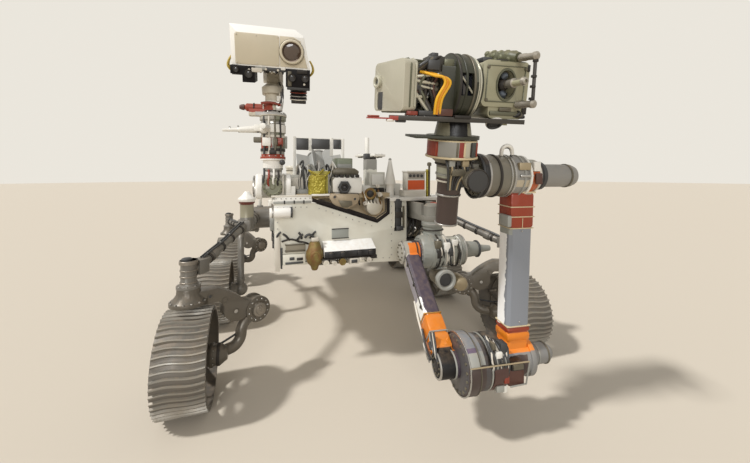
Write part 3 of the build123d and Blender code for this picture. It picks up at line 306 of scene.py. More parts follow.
FOIL_BAG = Finish("yellow_foil", (0.36, 0.3, 0.03), (0.2, 0.14, 0.02), Kind.FOIL, 0.35, 0.38,
                  grain_scale=70.0, bump=0.7)
GASKET = Finish("dark_gasket", (0.008, 0.006, 0.006), (0.018, 0.013, 0.011), roughness=0.6, dust=0.05,
                shine=0.15)
BRACKET = Finish("tan_bracket", (0.34, 0.27, 0.18), (0.22, 0.16, 0.1), Kind.METAL, 0.2, 0.45)
ORANGE_FOIL = Finish("orange_foil", (0.74, 0.22, 0.015), (0.58, 0.13, 0.01), Kind.TAPE, 0.15, 0.36,
                     grain_scale=34.0, bump=0.35)
RED_WRAP = Finish("red_wrap", (0.27, 0.036, 0.012), (0.19, 0.026, 0.011), Kind.TAPE, 0.05, 0.42,
                  grain_scale=30.0, bump=0.3)
STRAP = Finish("pale_strap", (0.58, 0.48, 0.3), (0.44, 0.36, 0.22), roughness=0.5)
CLEVIS = Finish("red_brown_casting", (0.085, 0.03, 0.02), (0.05, 0.027, 0.02), roughness=0.5)
BRONZE_PLATE = Finish("bronze_plate", (0.36, 0.29, 0.18), (0.26, 0.21, 0.13), Kind.METAL, 0.3, 0.4)
BRONZE_RING = Finish("bronze_ring", (0.1, 0.065, 0.04), (0.06, 0.04, 0.03), Kind.METAL, 0.4, 0.3)
EYE_GLASS = Finish("eye_glass", (0.06, 0.035, 0.025), (0.11, 0.07, 0.03), Kind.GLASS, roughness=0.12,
                   dust=0.0)
OLD_GOLD = Finish("old_gold_lead", (0.44, 0.32, 0.05), (0.3, 0.2, 0.03), roughness=0.45)
OLIVE_TRIM = Finish("olive_trim", (0.13, 0.13, 0.085), (0.07, 0.07, 0.05), Kind.METAL, 0.3, 0.4)
PALE_RING = Finish("pale_olive_ring", (0.52, 0.5, 0.4), (0.4, 0.38, 0.3), Kind.METAL, 0.4, 0.32)
BLUE_GREY = Finish("blue_grey_metal", (0.11, 0.13, 0.16), (0.18, 0.21, 0.25), Kind.METAL, 0.5, 0.3)
BIT = Finish("drill_bit", (0.36, 0.33, 0.28), (0.22, 0.2, 0.17), Kind.METAL, 0.6, 0.32)
ROUGH = Finish("rough_olive", (0.15, 0.15, 0.085), (0.08, 0.08, 0.05), Kind.METAL, 0.2, 0.55, bump=0.8)
YELLOW_SHADE = Finish("amber_wire", (0.7, 0.28, 0.012), (0.45, 0.16, 0.01), roughness=0.4)


def axle_x() -> float:
    """Gives the middle axle's X in the CAD frame."""
    low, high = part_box("wheel_middle_right")
    return (low[0] + high[0]) / 2


def spin_about(axis: str, degrees: float) -> Matrix:
    """Gives a turn about one axis."""
    return Matrix.Rotation(radians(degrees), 4, axis)


def patches_at(place: Matrix, *rows: tuple) -> tuple[Patch, ...]:
    """Makes areas in a place's axes, each from its centre, half size, colour, and its edge and share."""
    return tuple(Patch(place, *row) for row in rows)


ROVER = Matrix.Translation((axle_x(), 0.0, 0.0))
ARM = ROVER @ Matrix.Translation((1.150, 0.380, 0.0)) @ spin_about("Z", -6.0)
WRIST = ARM @ Matrix.Translation((0.650, 0.0, 1.258)) @ spin_about("Y", 10.0)
MAST = ROVER @ Matrix.Translation((0.800, -0.625, 0.0)) @ spin_about("Z", -4.0)
HEAD = MAST @ Matrix.Translation((-0.060, 0.0, 1.925)) @ spin_about("Y", 18.0)
UPPER = ARM @ Matrix.Translation((0.040, -0.175, 0.765)) @ spin_about("Y", 35.77)
FORE = ARM @ Matrix.Translation((0.605, 0.174, 0.358)) @ spin_about("Y", 2.862)
SENSOR = WRIST @ Matrix.Translation((-0.005, -0.486, 0.0)) @ spin_about("Z", 16.9)


class Shop:
    """The bench tools: a piece starts from a primitive in millimetres and ends in metres at its place."""

    @staticmethod
    def clear() -> None:
        """Lets go of whatever is selected."""
        bpy.ops.object.select_all(action="DESELECT")

    @staticmethod
    def take(piece: Piece) -> Piece:
        """Selects one piece alone and makes it active.

        Args:
            piece: The piece.

        Returns:
            The piece.
        """
        Shop.clear()
        piece.select_set(True)
        bpy.context.view_layer.objects.active = piece
        return piece

    @staticmethod
    def outlined(corners: list[Point], fill: str = "NGON") -> Piece:
        """Starts a piece from a loop of corners and leaves it open for editing.

        Args:
            corners: The loop's corners in order.
            fill: NGON for a face, NOTHING for its edges alone.

        Returns:
            The piece, in edit mode with everything selected.
        """
        Shop.clear()
        bpy.ops.mesh.primitive_circle_add(vertices=len(corners), radius=1.0, fill_type=fill)
        piece = bpy.context.object
        for vertex, corner in zip(piece.data.vertices, corners):
            vertex.co = corner
        bpy.ops.object.mode_set(mode="EDIT")
        bpy.ops.mesh.select_all(action="SELECT")
        return piece

    @staticmethod
    def closed() -> None:
        """Turns all faces of the edited piece outwards and ends its editing."""
        bpy.ops.mesh.select_all(action="SELECT")
        bpy.ops.mesh.normals_make_consistent(inside=False)
        bpy.ops.object.mode_set(mode="OBJECT")

    @staticmethod
    def aimed(piece: Piece, start: Point, end: Point, smooth: bool = True) -> Piece:
        """Moves a piece that was made along Z onto a line.

        Args:
            piece: The piece.
            start: Where the line starts.
            end: A point further along the line.
            smooth: Whether its round faces are shaded smooth.

        Returns:
            The piece.
        """
        turn = (Vector(end) - Vector(start)).to_track_quat("Z", "Y").to_matrix().to_4x4()
        Shop.settle(piece, Matrix.Translation(start) @ turn)
        if smooth:
            bpy.ops.object.shade_smooth_by_angle(angle=radians(SMOOTH_ANGLE))
        return piece

    @staticmethod
    def turned(start: Point, end: Point, profile: Profile, sides: int = 36, smooth: bool = True) -> Piece:
        """Turns a closed piece about a line.

        Args:
            start: Where the line starts.
            end: A point further along the line.
            profile: Place along the line and radius, in order.
            sides: Facets round it.
            smooth: Whether its round faces are shaded smooth.

        Returns:
            The piece, in millimetres.
        """
        Shop.clear()
        here, radius = profile[0]
        bpy.ops.mesh.primitive_circle_add(vertices=sides, radius=radius, fill_type="NGON",
                                          location=(0, 0, here))
        piece = bpy.context.object
        bpy.ops.object.mode_set(mode="EDIT")
        bpy.ops.mesh.select_all(action="SELECT")
        for place, wide in profile[1:]:
            bpy.ops.mesh.extrude_region_move(TRANSFORM_OT_translate={"value": (0, 0, place - here)})
            if abs(wide - radius) > 0.001:
                bpy.ops.transform.resize(value=(wide / radius, wide / radius, 1.0))
            here, radius = place, wide
        Shop.closed()
        return Shop.aimed(piece, start, end, smooth)

    @staticmethod
    def ring(start: Point, end: Point, section: Profile, sides: int = 48) -> Piece:
        """Spins a closed section round a line, so that it stays open in the middle.

        Args:
            start: Where the line starts.
            end: A point further along the line.
            section: Place along the line and radius of each corner, in order round the section.
            sides: Facets round it.

        Returns:
            The piece, in millimetres.
        """
        piece = Shop.outlined([(radius, 0.0, place) for place, radius in section], "NOTHING")
        bpy.ops.mesh.spin(steps=sides, angle=2 * pi, center=(0, 0, 0), axis=(0, 0, 1))
        bpy.ops.mesh.select_all(action="SELECT")
        bpy.ops.mesh.remove_doubles(threshold=0.01)
        Shop.closed()
        return Shop.aimed(piece, start, end)

    @staticmethod
    def band(start: Point, end: Point, radius: float, long: float, thick: float, finish: Finish,
             sides: int = 36) -> Piece:
        """Makes a thin band round a line, with softened edges.

        Args:
            start: The band's middle.
            end: A point further along the line.
            radius: The radius of what it lies on.
            long: Its length along the line.
            thick: How far it stands proud.
            finish: Its finish.
            sides: Facets round it.

        Returns:
            The band, in millimetres.
        """
        half = long / 2
        soft = min(thick, long) * 0.3
        top, root = radius + thick, radius - 3
        section = [(-half, root), (-half, top - soft), (-half + soft, top),
                   (half - soft, top), (half, top - soft), (half, root)]
        return Shop.dress(Shop.ring(start, end, section, sides), finish)

    @staticmethod
    def port(centre: Point, axis: Point, radius: float, rim: float, finish: Finish,
             inside: Finish) -> list[Piece]:
        """Makes a round port: a raised rim with a sunken floor in it.

        Args:
            centre: Its centre on the surface.
            axis: The way it faces.
            radius: The radius of its floor.
            rim: The rim's width.
            finish: The rim's finish.
            inside: The floor's finish.

        Returns:
            The rim and the floor.
        """
        tip = tuple(Vector(centre) + Vector(axis).normalized() * 10)
        section = [(-3, radius), (3, radius), (4, radius + 1), (4, radius + rim - 1),
                   (2.5, radius + rim), (-3, radius + rim)]
        floor = [(-4, radius + 1), (0.6, radius + 1), (0.9, radius * 0.7)]
        return [Shop.dress(Shop.ring(centre, tip, section, 28), finish),
                Shop.dress(Shop.turned(centre, tip, floor, 28), inside)]

    @staticmethod
    def block(low: Point, high: Point, edge: float = 3.0, steps: int = 2) -> Piece:
        """Makes a box with rounded edges between two corners.

        Args:
            low: Its lowest corner.
            high: Its highest corner.
            edge: Radius of its edges.
            steps: Facets round each edge.

        Returns:
            The piece, in millimetres.
        """
        Shop.clear()
        middle = (Vector(low) + Vector(high)) / 2
        bpy.ops.mesh.primitive_cube_add(size=1.0, location=middle, scale=Vector(high) - Vector(low))
        piece = bpy.context.object
        bpy.ops.object.transform_apply(location=True, rotation=True, scale=True)
        return Shop.rounded(piece, edge, steps)

    @staticmethod
    def rounded(piece: Piece, edge: float, steps: int = 2, angle: float = 30.0) -> Piece:
        """Rounds the sharp edges of a piece with a bevel.

        Args:
            piece: The piece.
            edge: Radius of its edges.
            steps: Facets round each edge.
            angle: How sharp an edge has to be.

        Returns:
            The piece.
        """
        Shop.take(piece)
        bevel = piece.modifiers.new("edges", "BEVEL")
        bevel.width = edge
        bevel.segments = steps
        bevel.limit_method = "ANGLE"
        bevel.angle_limit = radians(angle)
        bpy.ops.object.modifier_apply(modifier=bevel.name)
        bpy.ops.object.shade_smooth_by_angle(angle=radians(SMOOTH_ANGLE))
        return piece

    @staticmethod
    def cut(corners: Profile, thick: float, edge: float, foot: float = 0.0, facing: str = "X") -> Piece:
        """Cuts a plate from an outline.

        Args:
            corners: The outline's corners: Y and Z when the plate faces X, X and Z when it faces Y.
            thick: How far the plate goes towards plus.
            edge: Radius of its edges.
            foot: Where its back lies on the axis that it faces.
            facing: The axis that it faces, X or Y.

        Returns:
            The piece, in millimetres.
        """
        def spot(depth: float, a: float, b: float) -> Point:
            """Gives a point at a depth along the axis."""
            return (depth, a, b) if facing == "X" else (a, depth, b)

        piece = Shop.outlined([spot(0, a, b) for a, b in corners])
        bpy.ops.mesh.extrude_region_move(TRANSFORM_OT_translate={"value": spot(thick, 0, 0)})
        Shop.closed()
        return Shop.settle(Shop.rounded(piece, edge), Matrix.Translation(spot(foot, 0, 0)))

    @staticmethod
    def tube(points: list[Point], radius: float, sides: int = 3, straight: bool = False) -> Piece:
        """Bends a closed tube along points.

        Args:
            points: The line that it follows.
            radius: The tube's radius.
            sides: The bevel's resolution, a quarter of its facets.
            straight: Whether it runs straight from point to point.

        Returns:
            The piece, in millimetres.
        """
        Shop.clear()
        line = bpy.data.curves.new("tube", "CURVE")
        line.dimensions = "3D"
        spline = line.splines.new("POLY" if straight else "NURBS")
        spline.points.add(len(points) - 1)
        for spot, point in zip(spline.points, points):
            spot.co = (*point, 1.0)
        if not straight:
            spline.order_u = 3
            spline.use_endpoint_u = True
        line.resolution_u = 5
        line.bevel_depth = radius
        line.bevel_resolution = sides
        line.use_fill_caps = True
        piece = bpy.data.objects.new("tube", line)
        bpy.context.collection.objects.link(piece)
        Shop.take(piece)
        bpy.ops.object.convert(target="MESH")
        bpy.ops.object.shade_smooth_by_angle(angle=radians(TUBE_ANGLE))
        return bpy.context.object

    @staticmethod
    def settle(piece: Piece, place: Matrix) -> Piece:
        """Moves a piece and leaves its object at the origin.

        Args:
            piece: The piece.
            place: The move.

        Returns:
            The piece.
        """
        Shop.take(piece)
        piece.matrix_world = place @ piece.matrix_world
        bpy.ops.object.transform_apply(location=True, rotation=True, scale=True)
        return piece

    @staticmethod
    def repeated(piece: Piece, count: int, step: Matrix) -> Piece:
        """Repeats a piece, each copy one step further than the one before.

        Args:
            piece: The piece.
            count: How many there will be.
            step: The move from one to the next.

        Returns:
            All of them as one piece.
        """
        Shop.clear()
        bpy.ops.object.empty_add(location=(0, 0, 0))
        guide = bpy.context.object
        guide.matrix_world = step
        Shop.take(piece)
        array = piece.modifiers.new("copies", "ARRAY")
        array.count = count
        array.use_relative_offset = False
        array.use_object_offset = True
        array.offset_object = guide
        bpy.context.view_layer.update()
        bpy.ops.object.modifier_apply(modifier=array.name)
        bpy.data.objects.remove(guide)
        return piece

    @staticmethod
    def round_array(piece: Piece, count: int, axis: Point, centre: Point = (0, 0, 0)) -> Piece:
        """Repeats a piece round an axis through a centre."""
        to, back = Matrix.Translation(centre), Matrix.Translation(-Vector(centre))
        return Shop.repeated(piece, count, to @ Matrix.Rotation(2 * pi / count, 4, Vector(axis)) @ back)

    @staticmethod
    def copied(piece: Piece, place: Matrix) -> Piece:
        """Copies a piece, with its own mesh, to another place.

        Args:
            piece: The piece.
            place: The move from its place to the new one.

        Returns:
            The copy.
        """
        Shop.take(piece)
        bpy.ops.object.duplicate()
        return Shop.settle(bpy.context.object, place)

    @staticmethod
    def bolts(centre: Point, axis: Point, ring: float, count: int, size: float,
              finish: Finish | None = None) -> Piece:
        """Makes a ring of six-sided bolt heads.

        Args:
            centre: The ring's centre, on the surface that carries the bolts.
            axis: The way the heads point.
            ring: The ring's radius.
            count: How many bolts.
            size: Half a head's width.
            finish: The heads' finish, or None for bright steel.

        Returns:
            The bolts as one piece.
        """
        along = Vector(axis).normalized()
        aside = along.orthogonal().normalized() * ring
        foot = Vector(centre) + aside - along * 2.0
        head = [(0, size), (size * 0.9 + 2.0, size), (size * 1.1 + 2.0, size * 0.7)]
        bolt = Shop.dress(Shop.turned(tuple(foot), tuple(foot + along), head, 6, False), finish or STEEL)
        return Shop.round_array(bolt, count, tuple(along), centre) if count > 1 else bolt

    @staticmethod
    def screw(spot: Point, axis: Point, size: float, finish: Finish | None = None) -> Piece:
        """Makes one six-sided screw head."""
        return Shop.bolts(spot, axis, 0.001, 1, size, finish)

    @staticmethod
    def dress(piece: Piece, finish: Finish) -> Piece:
        """Gives a piece one finish all over.

        Args:
            piece: The piece.
            finish: Its finish.

        Returns:
            The piece.
        """
        piece.data.materials.clear()
        piece.data.materials.append(finish.build())
        return piece

    @staticmethod
    def joined(pieces: list[Piece]) -> Piece:
        """Joins pieces, each with its own finish, into one.

        Args:
            pieces: The pieces.

        Returns:
            The first piece, with the others in it.
        """
        Shop.clear()
        for piece in pieces:
            piece.select_set(True)
        bpy.context.view_layer.objects.active = pieces[0]
        if len(pieces) > 1:
            bpy.ops.object.join()
        return pieces[0]

    @staticmethod
    def softened(node: str, edge: float = 3.0) -> Piece:
        """Copies a CAD node and rounds its sharp edges.

        Args:
            node: The node's name.
            edge: Radius of its edges, in millimetres.

        Returns:
            The copy, in metres at its place.
        """
        Shop.take(frame["nodes"][node])
        bpy.ops.object.duplicate()
        piece = bpy.context.object
        bpy.ops.object.parent_clear(type="CLEAR_KEEP_TRANSFORM")
        bpy.ops.object.mode_set(mode="EDIT")
        bpy.ops.mesh.select_all(action="SELECT")
        bpy.ops.mesh.remove_doubles(threshold=0.00002)
        bpy.ops.mesh.dissolve_limited(angle_limit=radians(1.0))
        bpy.ops.object.mode_set(mode="OBJECT")
        return Shop.rounded(piece, edge * METRES, 2, 35.0)

    @staticmethod
    def place(pieces: list[Piece], at: Matrix) -> Piece:
        """Joins pieces made in millimetres and puts them at a place in metres."""
        return Shop.settle(Shop.joined(pieces), at @ Matrix.Scale(METRES, 4))

    @staticmethod
    def register(piece: Piece, name: str, body: str, slot: str, *replaced: str) -> Piece:
        """Names a finished piece, ties it to its body, and reports it.

        Args:
            piece: The finished piece, in metres.
            name: Its plain name.
            body: The body that it rides on.
            slot: The record's material slot; not used.
            replaced: The CAD nodes that it stands for.

        Returns:
            The piece.
        """
        piece.name = name
        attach(piece, body)
        if replaced:
            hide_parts(*replaced)
        LOG.info("%s: %d faces on %s", name, len(piece.data.polygons), body)
        return piece

    @staticmethod
    def refinish(node: str, edge: float, slot: str, finish: Finish, body: str = "chassis",
                 ending: str = "finished") -> None:
        """Stands a CAD node's rounded and dressed copy in for it.

        Args:
            node: The node's name.
            edge: Radius of its edges, in millimetres.
            slot: The record's material slot.
            finish: The copy's finish.
            body: The body that it rides on.
            ending: The last word of the copy's name.
        """
        Shop.register(Shop.dress(Shop.softened(node, edge), finish), f"{node}_{ending}", body, slot, node)


class Tray(list):
    """The pieces of one group of fittings, in millimetres, in the order in which they are made."""

    def add(self, finish: Finish, *pieces: Piece) -> None:
        """Dresses pieces and adds them."""
        self.extend([Shop.dress(piece, finish) for piece in pieces])

    def blocks(self, edge: float, *rows: tuple[Point, Point, Finish]) -> None:
        """Adds boxes, each from its lowest corner, its highest corner and its finish."""
        for low, high, finish in rows:
            self.add(finish, Shop.block(low, high, edge))


BLACK_AREA: Colour = (0.006, 0.0055, 0.006)
ORANGE_AREA: Colour = (0.7, 0.17, 0.015)
RED_AREA: Colour = (0.26, 0.034, 0.012)
WHITE_AREA: Colour = (0.82, 0.8, 0.75)
HAZE_AREA: Colour = (0.27, 0.28, 0.25)
TAN_AREA: Colour = (0.42, 0.33, 0.2)
HOUSING = Finish("housing_paint", WHITE.colour, WHITE.patch, roughness=0.55, areas=patches_at(
    ROVER, ((800, 440, 880), (30, 160, 190), (0.1, 0.085, 0.065), 8.0)
))
PANEL = Finish(
    "front_panel_paint", (0.66, 0.64, 0.55), (0.52, 0.47, 0.37), roughness=0.55, areas=patches_at(
        ROVER, ((958, -200, 870), (14, 57, 32), HAZE_AREA, 0.5),
        ((960, -490, 795), (30, 62, 26), (0.26, 0.23, 0.17), 1.0),
        ((960, 212, 968), (30, 25, 104), BLACK_AREA, 2.0),
        ((985, -585, 1026), (50, 70, 40), WHITE_AREA, 0.5)
    ))
SHELF = Finish("shelf_paint", (0.83, 0.82, 0.79), (0.62, 0.58, 0.5), roughness=0.5, areas=patches_at(
    ROVER, ((1060, -160, 750), (20, 190, 26), BLACK_AREA, 0.5),
    ((1000, -160, 728), (60, 190, 7), BLACK_AREA, 0.5)
))
LENS_BOX = Finish("lens_box_paint", WHITE.colour, WHITE.patch, roughness=0.5, areas=patches_at(
    ROVER, ((830, -322, 1210), (40, 62, 80), (0.46, 0.4, 0.07), 4.0),
    ((930, -166, 1176), (30, 50, 50), (0.05, 0.05, 0.05), 0.5),
    ((830, -150, 1115), (60, 330, 16), TAN_AREA, 3.0)
))
DECK_PAINT = Finish("deck_box_paint", (0.6, 0.58, 0.5), (0.4, 0.38, 0.32), roughness=0.5, areas=patches_at(
    ROVER, ((630, -112, 1290), (80, 80, 110), (0.22, 0.24, 0.17), 6.0),
    ((530, 140, 1350), (60, 60, 50), (0.1, 0.09, 0.08), 8.0, 0.7),
    ((630, -480, 1180), (80, 90, 90), (0.36, 0.35, 0.3), 8.0, 0.7)
))
TARGET = Finish("target_box_paint", (0.66, 0.63, 0.56), (0.5, 0.46, 0.38), roughness=0.5, areas=patches_at(
    ROVER, ((932, 365, 1186), (12, 66, 34), (0.62, 0.09, 0.015), 1.0),
    ((932, 365, 1252), (12, 62, 22), (0.33, 0.3, 0.26), 2.0)
))
HEAD_PAINT = Finish("head_paint", WHITE_AREA, (0.7, 0.66, 0.58), roughness=0.45, patch_share=0.2, dust=0.05)
HEAD_FACE = Finish("head_face", (0.58, 0.51, 0.38), (0.49, 0.45, 0.33), roughness=0.5)
BARS = Finish("camera_bar_paint", (0.007, 0.006, 0.007), (0.02, 0.018, 0.018), roughness=0.5, dust=0.03,
              shine=0.15)
MAST_PAINT = Finish(
    "mast_tube_paint", (0.34, 0.32, 0.27), (0.26, 0.24, 0.2), roughness=0.5, areas=patches_at(
        MAST, ((0, -20, 1378), (120, 120, 17), RED_AREA, 2.0),
        ((0, 0, 1436), (120, 120, 14), (0.12, 0.11, 0.09), 2.0),
        ((40, -40, 1476), (70, 34, 40), RED_AREA, 6.0),
        ((40, 52, 1540), (70, 40, 106), (0.17, 0.175, 0.12), 3.0, 0.85),
        ((40, 40, 1480), (70, 26, 34), RED_AREA, 4.0)
    ))
MAST_FOOT = Finish("mast_base_paint", WHITE_AREA, (0.6, 0.57, 0.5), roughness=0.5, areas=patches_at(
    MAST, ((0, 0, 1290), (90, 120, 14), (0.2, 0.19, 0.16), 6.0, 0.8),
    ((90, 10, 1184), (60, 76, 76), (0.26, 0.245, 0.2), 3.0, 0.85)
))
YOKE_PAINT = Finish(
    "mast_yoke_paint", (0.52, 0.47, 0.37), (0.4, 0.36, 0.28), roughness=0.5, areas=patches_at(
        MAST, ((0, -110, 1704), (60, 112, 34), RED_AREA, 3.0),
        ((0, 0, 1662), (110, 110, 12), (0.4, 0.39, 0.36), 1.0)
    ))
SHOULDER_PAINT = Finish(
    "shoulder_paint", (0.25, 0.255, 0.225), (0.15, 0.15, 0.13), roughness=0.45, areas=patches_at(
        ARM, ((120, 56, 765), (140, 24, 140), (0.5, 0.48, 0.42), 5.0, 0.8),
        ((120, 112, 765), (140, 30, 140), (0.36, 0.36, 0.3), 4.0, 0.8),
        ((40, 10, 610), (70, 60, 44), (0.16, 0.14, 0.1), 4.0)
    ))
ARM_MOUNT = Finish(
    "arm_bracket_paint", (0.2, 0.19, 0.16), (0.1, 0.09, 0.08), roughness=0.5, areas=patches_at(
        ARM, ((0, 60, 1030), (120, 40, 60), RED_AREA, 4.0)
    ))
UPPER_PAINT_AND_HIGHLIGHT = Finish(
    "upper_arm_paint_and_highlight", (0.055, 0.04, 0.056), (0.08, 0.064, 0.078), roughness=0.55, dust=0.14, shine=0.35,
    areas=patches_at(
        # Painted highlight: the tube's left face and edge, lighter grey along its upper length.
        UPPER, ((230, -50, 0), (200, 7, 60), (0.27, 0.25, 0.27), 1.0)
    ) + patches_at(
        ARM, ((40, -205, 765), (80, 42, 80), (0.34, 0.32, 0.27), 1.0)
    ) + patches_at(
        UPPER, ((24, 16, 22), (42, 36, 60), ORANGE_AREA, 1.5),
        ((560, 0, 0), (101, 60, 60), (0.6, 0.18, 0.02), 1.5),
        # Painted highlight: a white streak on the left face near the lower foil sleeve.
        ((448, -46, -10), (98, 12, 60), WHITE_AREA, 8.0)
    ) + patches_at(
        ARM, ((605, -190, 358), (74, 48, 74), BLACK_AREA, 0.5)
    ))
ELBOW_PAINT = Finish(
    "elbow_paint", (0.055, 0.05, 0.052), (0.09, 0.08, 0.075), roughness=0.45, areas=patches_at(
        ARM, ((640, -74, 480), (120, 40, 78), (0.2, 0.205, 0.215), 0.5),
        ((760, -74, 440), (70, 40, 36), (0.3, 0.3, 0.27), 0.5),
        ((704, -74, 463), (14, 40, 8), (0.1, 0.075, 0.13), 0.5),
        ((605, -78, 300), (200, 44, 104), (0.05, 0.032, 0.028), 1.0),
        ((605, 40, 300), (200, 50, 100), (0.07, 0.03, 0.024), 6.0),
        ((605, 30, 450), (200, 50, 60), BLACK_AREA, 5.0, 0.9)
    ))
FORE_PAINT = Finish(
    "forearm_paint", (0.2, 0.215, 0.24), (0.23, 0.23, 0.245), roughness=0.5, areas=patches_at(
        ARM, ((690, 290, 1258), (180, 212, 130), (0.23, 0.22, 0.2), 1.0),
        ((605, 300, 358), (140, 128, 120), (0.2, 0.195, 0.185), 1.0)
    ) + patches_at(
        FORE, ((0, 0, 101), (70, 80, 46), (0.7, 0.2, 0.015), 1.0),
        ((0, 0, 160), (70, 80, 13), RED_AREA, 1.0),
        ((-20, -62, 438), (40, 20, 266), (0.86, 0.85, 0.82), 9.0),
        ((0, 0, 737), (70, 80, 86), RED_AREA, 0.8),
        ((0, -62, 682), (66, 14, 60), HAZE_AREA, 1.0)
    ) + patches_at(
        ARM, ((605, 144, 342), (150, 66, 60), (0.045, 0.027, 0.023), 3.0),
        ((660, 224, 1258), (200, 34, 140), (0.34, 0.35, 0.3), 2.0),
        ((730, 224, 1240), (90, 26, 60), (0.44, 0.09, 0.02), 2.0),
        ((660, 279, 1258), (200, 20, 140), BLACK_AREA, 0.5),
        ((660, 132, 1222), (200, 52, 16), (0.42, 0.36, 0.26), 1.0)
    ))
WRIST_PAINT = Finish(
    "wrist_paint", (0.17, 0.155, 0.12), (0.1, 0.09, 0.07), roughness=0.45, areas=patches_at(
        WRIST, ((0, -40, 0), (140, 15, 130), BLACK_AREA, 0.5),
        ((0, -291, 131), (130, 21, 46), (0.24, 0.03, 0.012), 1.0),
        ((0, -232, 131), (130, 38, 46), (0.26, 0.25, 0.22), 1.0),
        ((0, -182, 131), (130, 12, 46), (0.24, 0.03, 0.02), 1.0),
        ((0, -153, 131), (130, 17, 46), (0.46, 0.42, 0.32), 1.0),
        ((0, -116, 131), (130, 20, 46), (0.05, 0.055, 0.05), 1.0),
        ((0, -81, 131), (130, 15, 46), (0.28, 0.06, 0.03), 1.0),
        ((0, -178, 20), (80, 70, 22), (0.36, 0.36, 0.28), 2.0),
        ((0, -178, -116), (80, 70, 110), (0.05, 0.032, 0.026), 1.0)
    ))
TURRET_PAINT = Finish(
    "turret_paint", (0.036, 0.037, 0.024), (0.018, 0.018, 0.013), roughness=0.42, dust=0.08, shine=0.35,
    areas=patches_at(
        WRIST, ((0, -178, 215), (130, 130, 26), (0.24, 0.22, 0.15), 4.0, 0.8),
        ((90, -184, 222), (60, 40, 36), BLACK_AREA, 4.0),
        ((40, -140, 470), (160, 20, 60), (0.15, 0.155, 0.12), 3.0, 0.7)
    ))
DRILL_PAINT = Finish(
    "drill_paint", (0.33, 0.31, 0.21), (0.26, 0.255, 0.15), roughness=0.4, patch_share=0.5,
    areas=patches_at(
        WRIST, ((194, 65, 425), (16, 20, 84), (0.05, 0.045, 0.04), 1.0),
        ((-60, 0, 415), (92, 160, 90), (0.1, 0.105, 0.08), 1.0),
        ((60, 30, 536), (150, 60, 30), (0.085, 0.085, 0.045), 3.0)
    ))
SENSOR_PAINT = Finish(
    "sensor_paint", (0.47, 0.44, 0.35), (0.38, 0.37, 0.28), Kind.METAL, 0.25, 0.38, patch_share=0.5,
    areas=patches_at(
        SENSOR, ((10, 106, 400), (140, 42, 130), (0.11, 0.112, 0.08), 1.0)
    ))
FRAME_PAINT = Finish(
    "turret_frame_paint", (0.03, 0.027, 0.022), (0.075, 0.06, 0.045), roughness=0.45, areas=patches_at(
        WRIST, ((75, -530, 253), (30, 62, 12), (0.3, 0.04, 0.025), 2.0)
    ))
YELLOW_WIRE = Finish("yellow_wire", (0.78, 0.42, 0.015), (0.55, 0.24, 0.01), roughness=0.4)
POWER_PAINT = Finish("power_unit_paint", (0.3, 0.3, 0.28), (0.22, 0.22, 0.2), roughness=0.5)
ROCKER_PAINT = Finish("rocker_paint", TUBES.colour, TUBES.patch, Kind.METAL, 0.25, 0.42, areas=patches_at(
    ROVER, ((550, -800, 1000), (70, 70, 46), (0.27, 0.25, 0.18), 1.0),
    ((550, 800, 1000), (70, 70, 46), (0.27, 0.25, 0.18), 1.0),
    ((550, -800, 1056), (70, 70, 11), (0.12, 0.03, 0.02), 1.0),
    ((550, 800, 1056), (70, 70, 11), (0.12, 0.03, 0.02), 1.0),
    ((550, -800, 1110), (70, 70, 43), WHITE_AREA, 1.0), ((550, 800, 1110), (70, 70, 43), WHITE_AREA, 1.0)
))


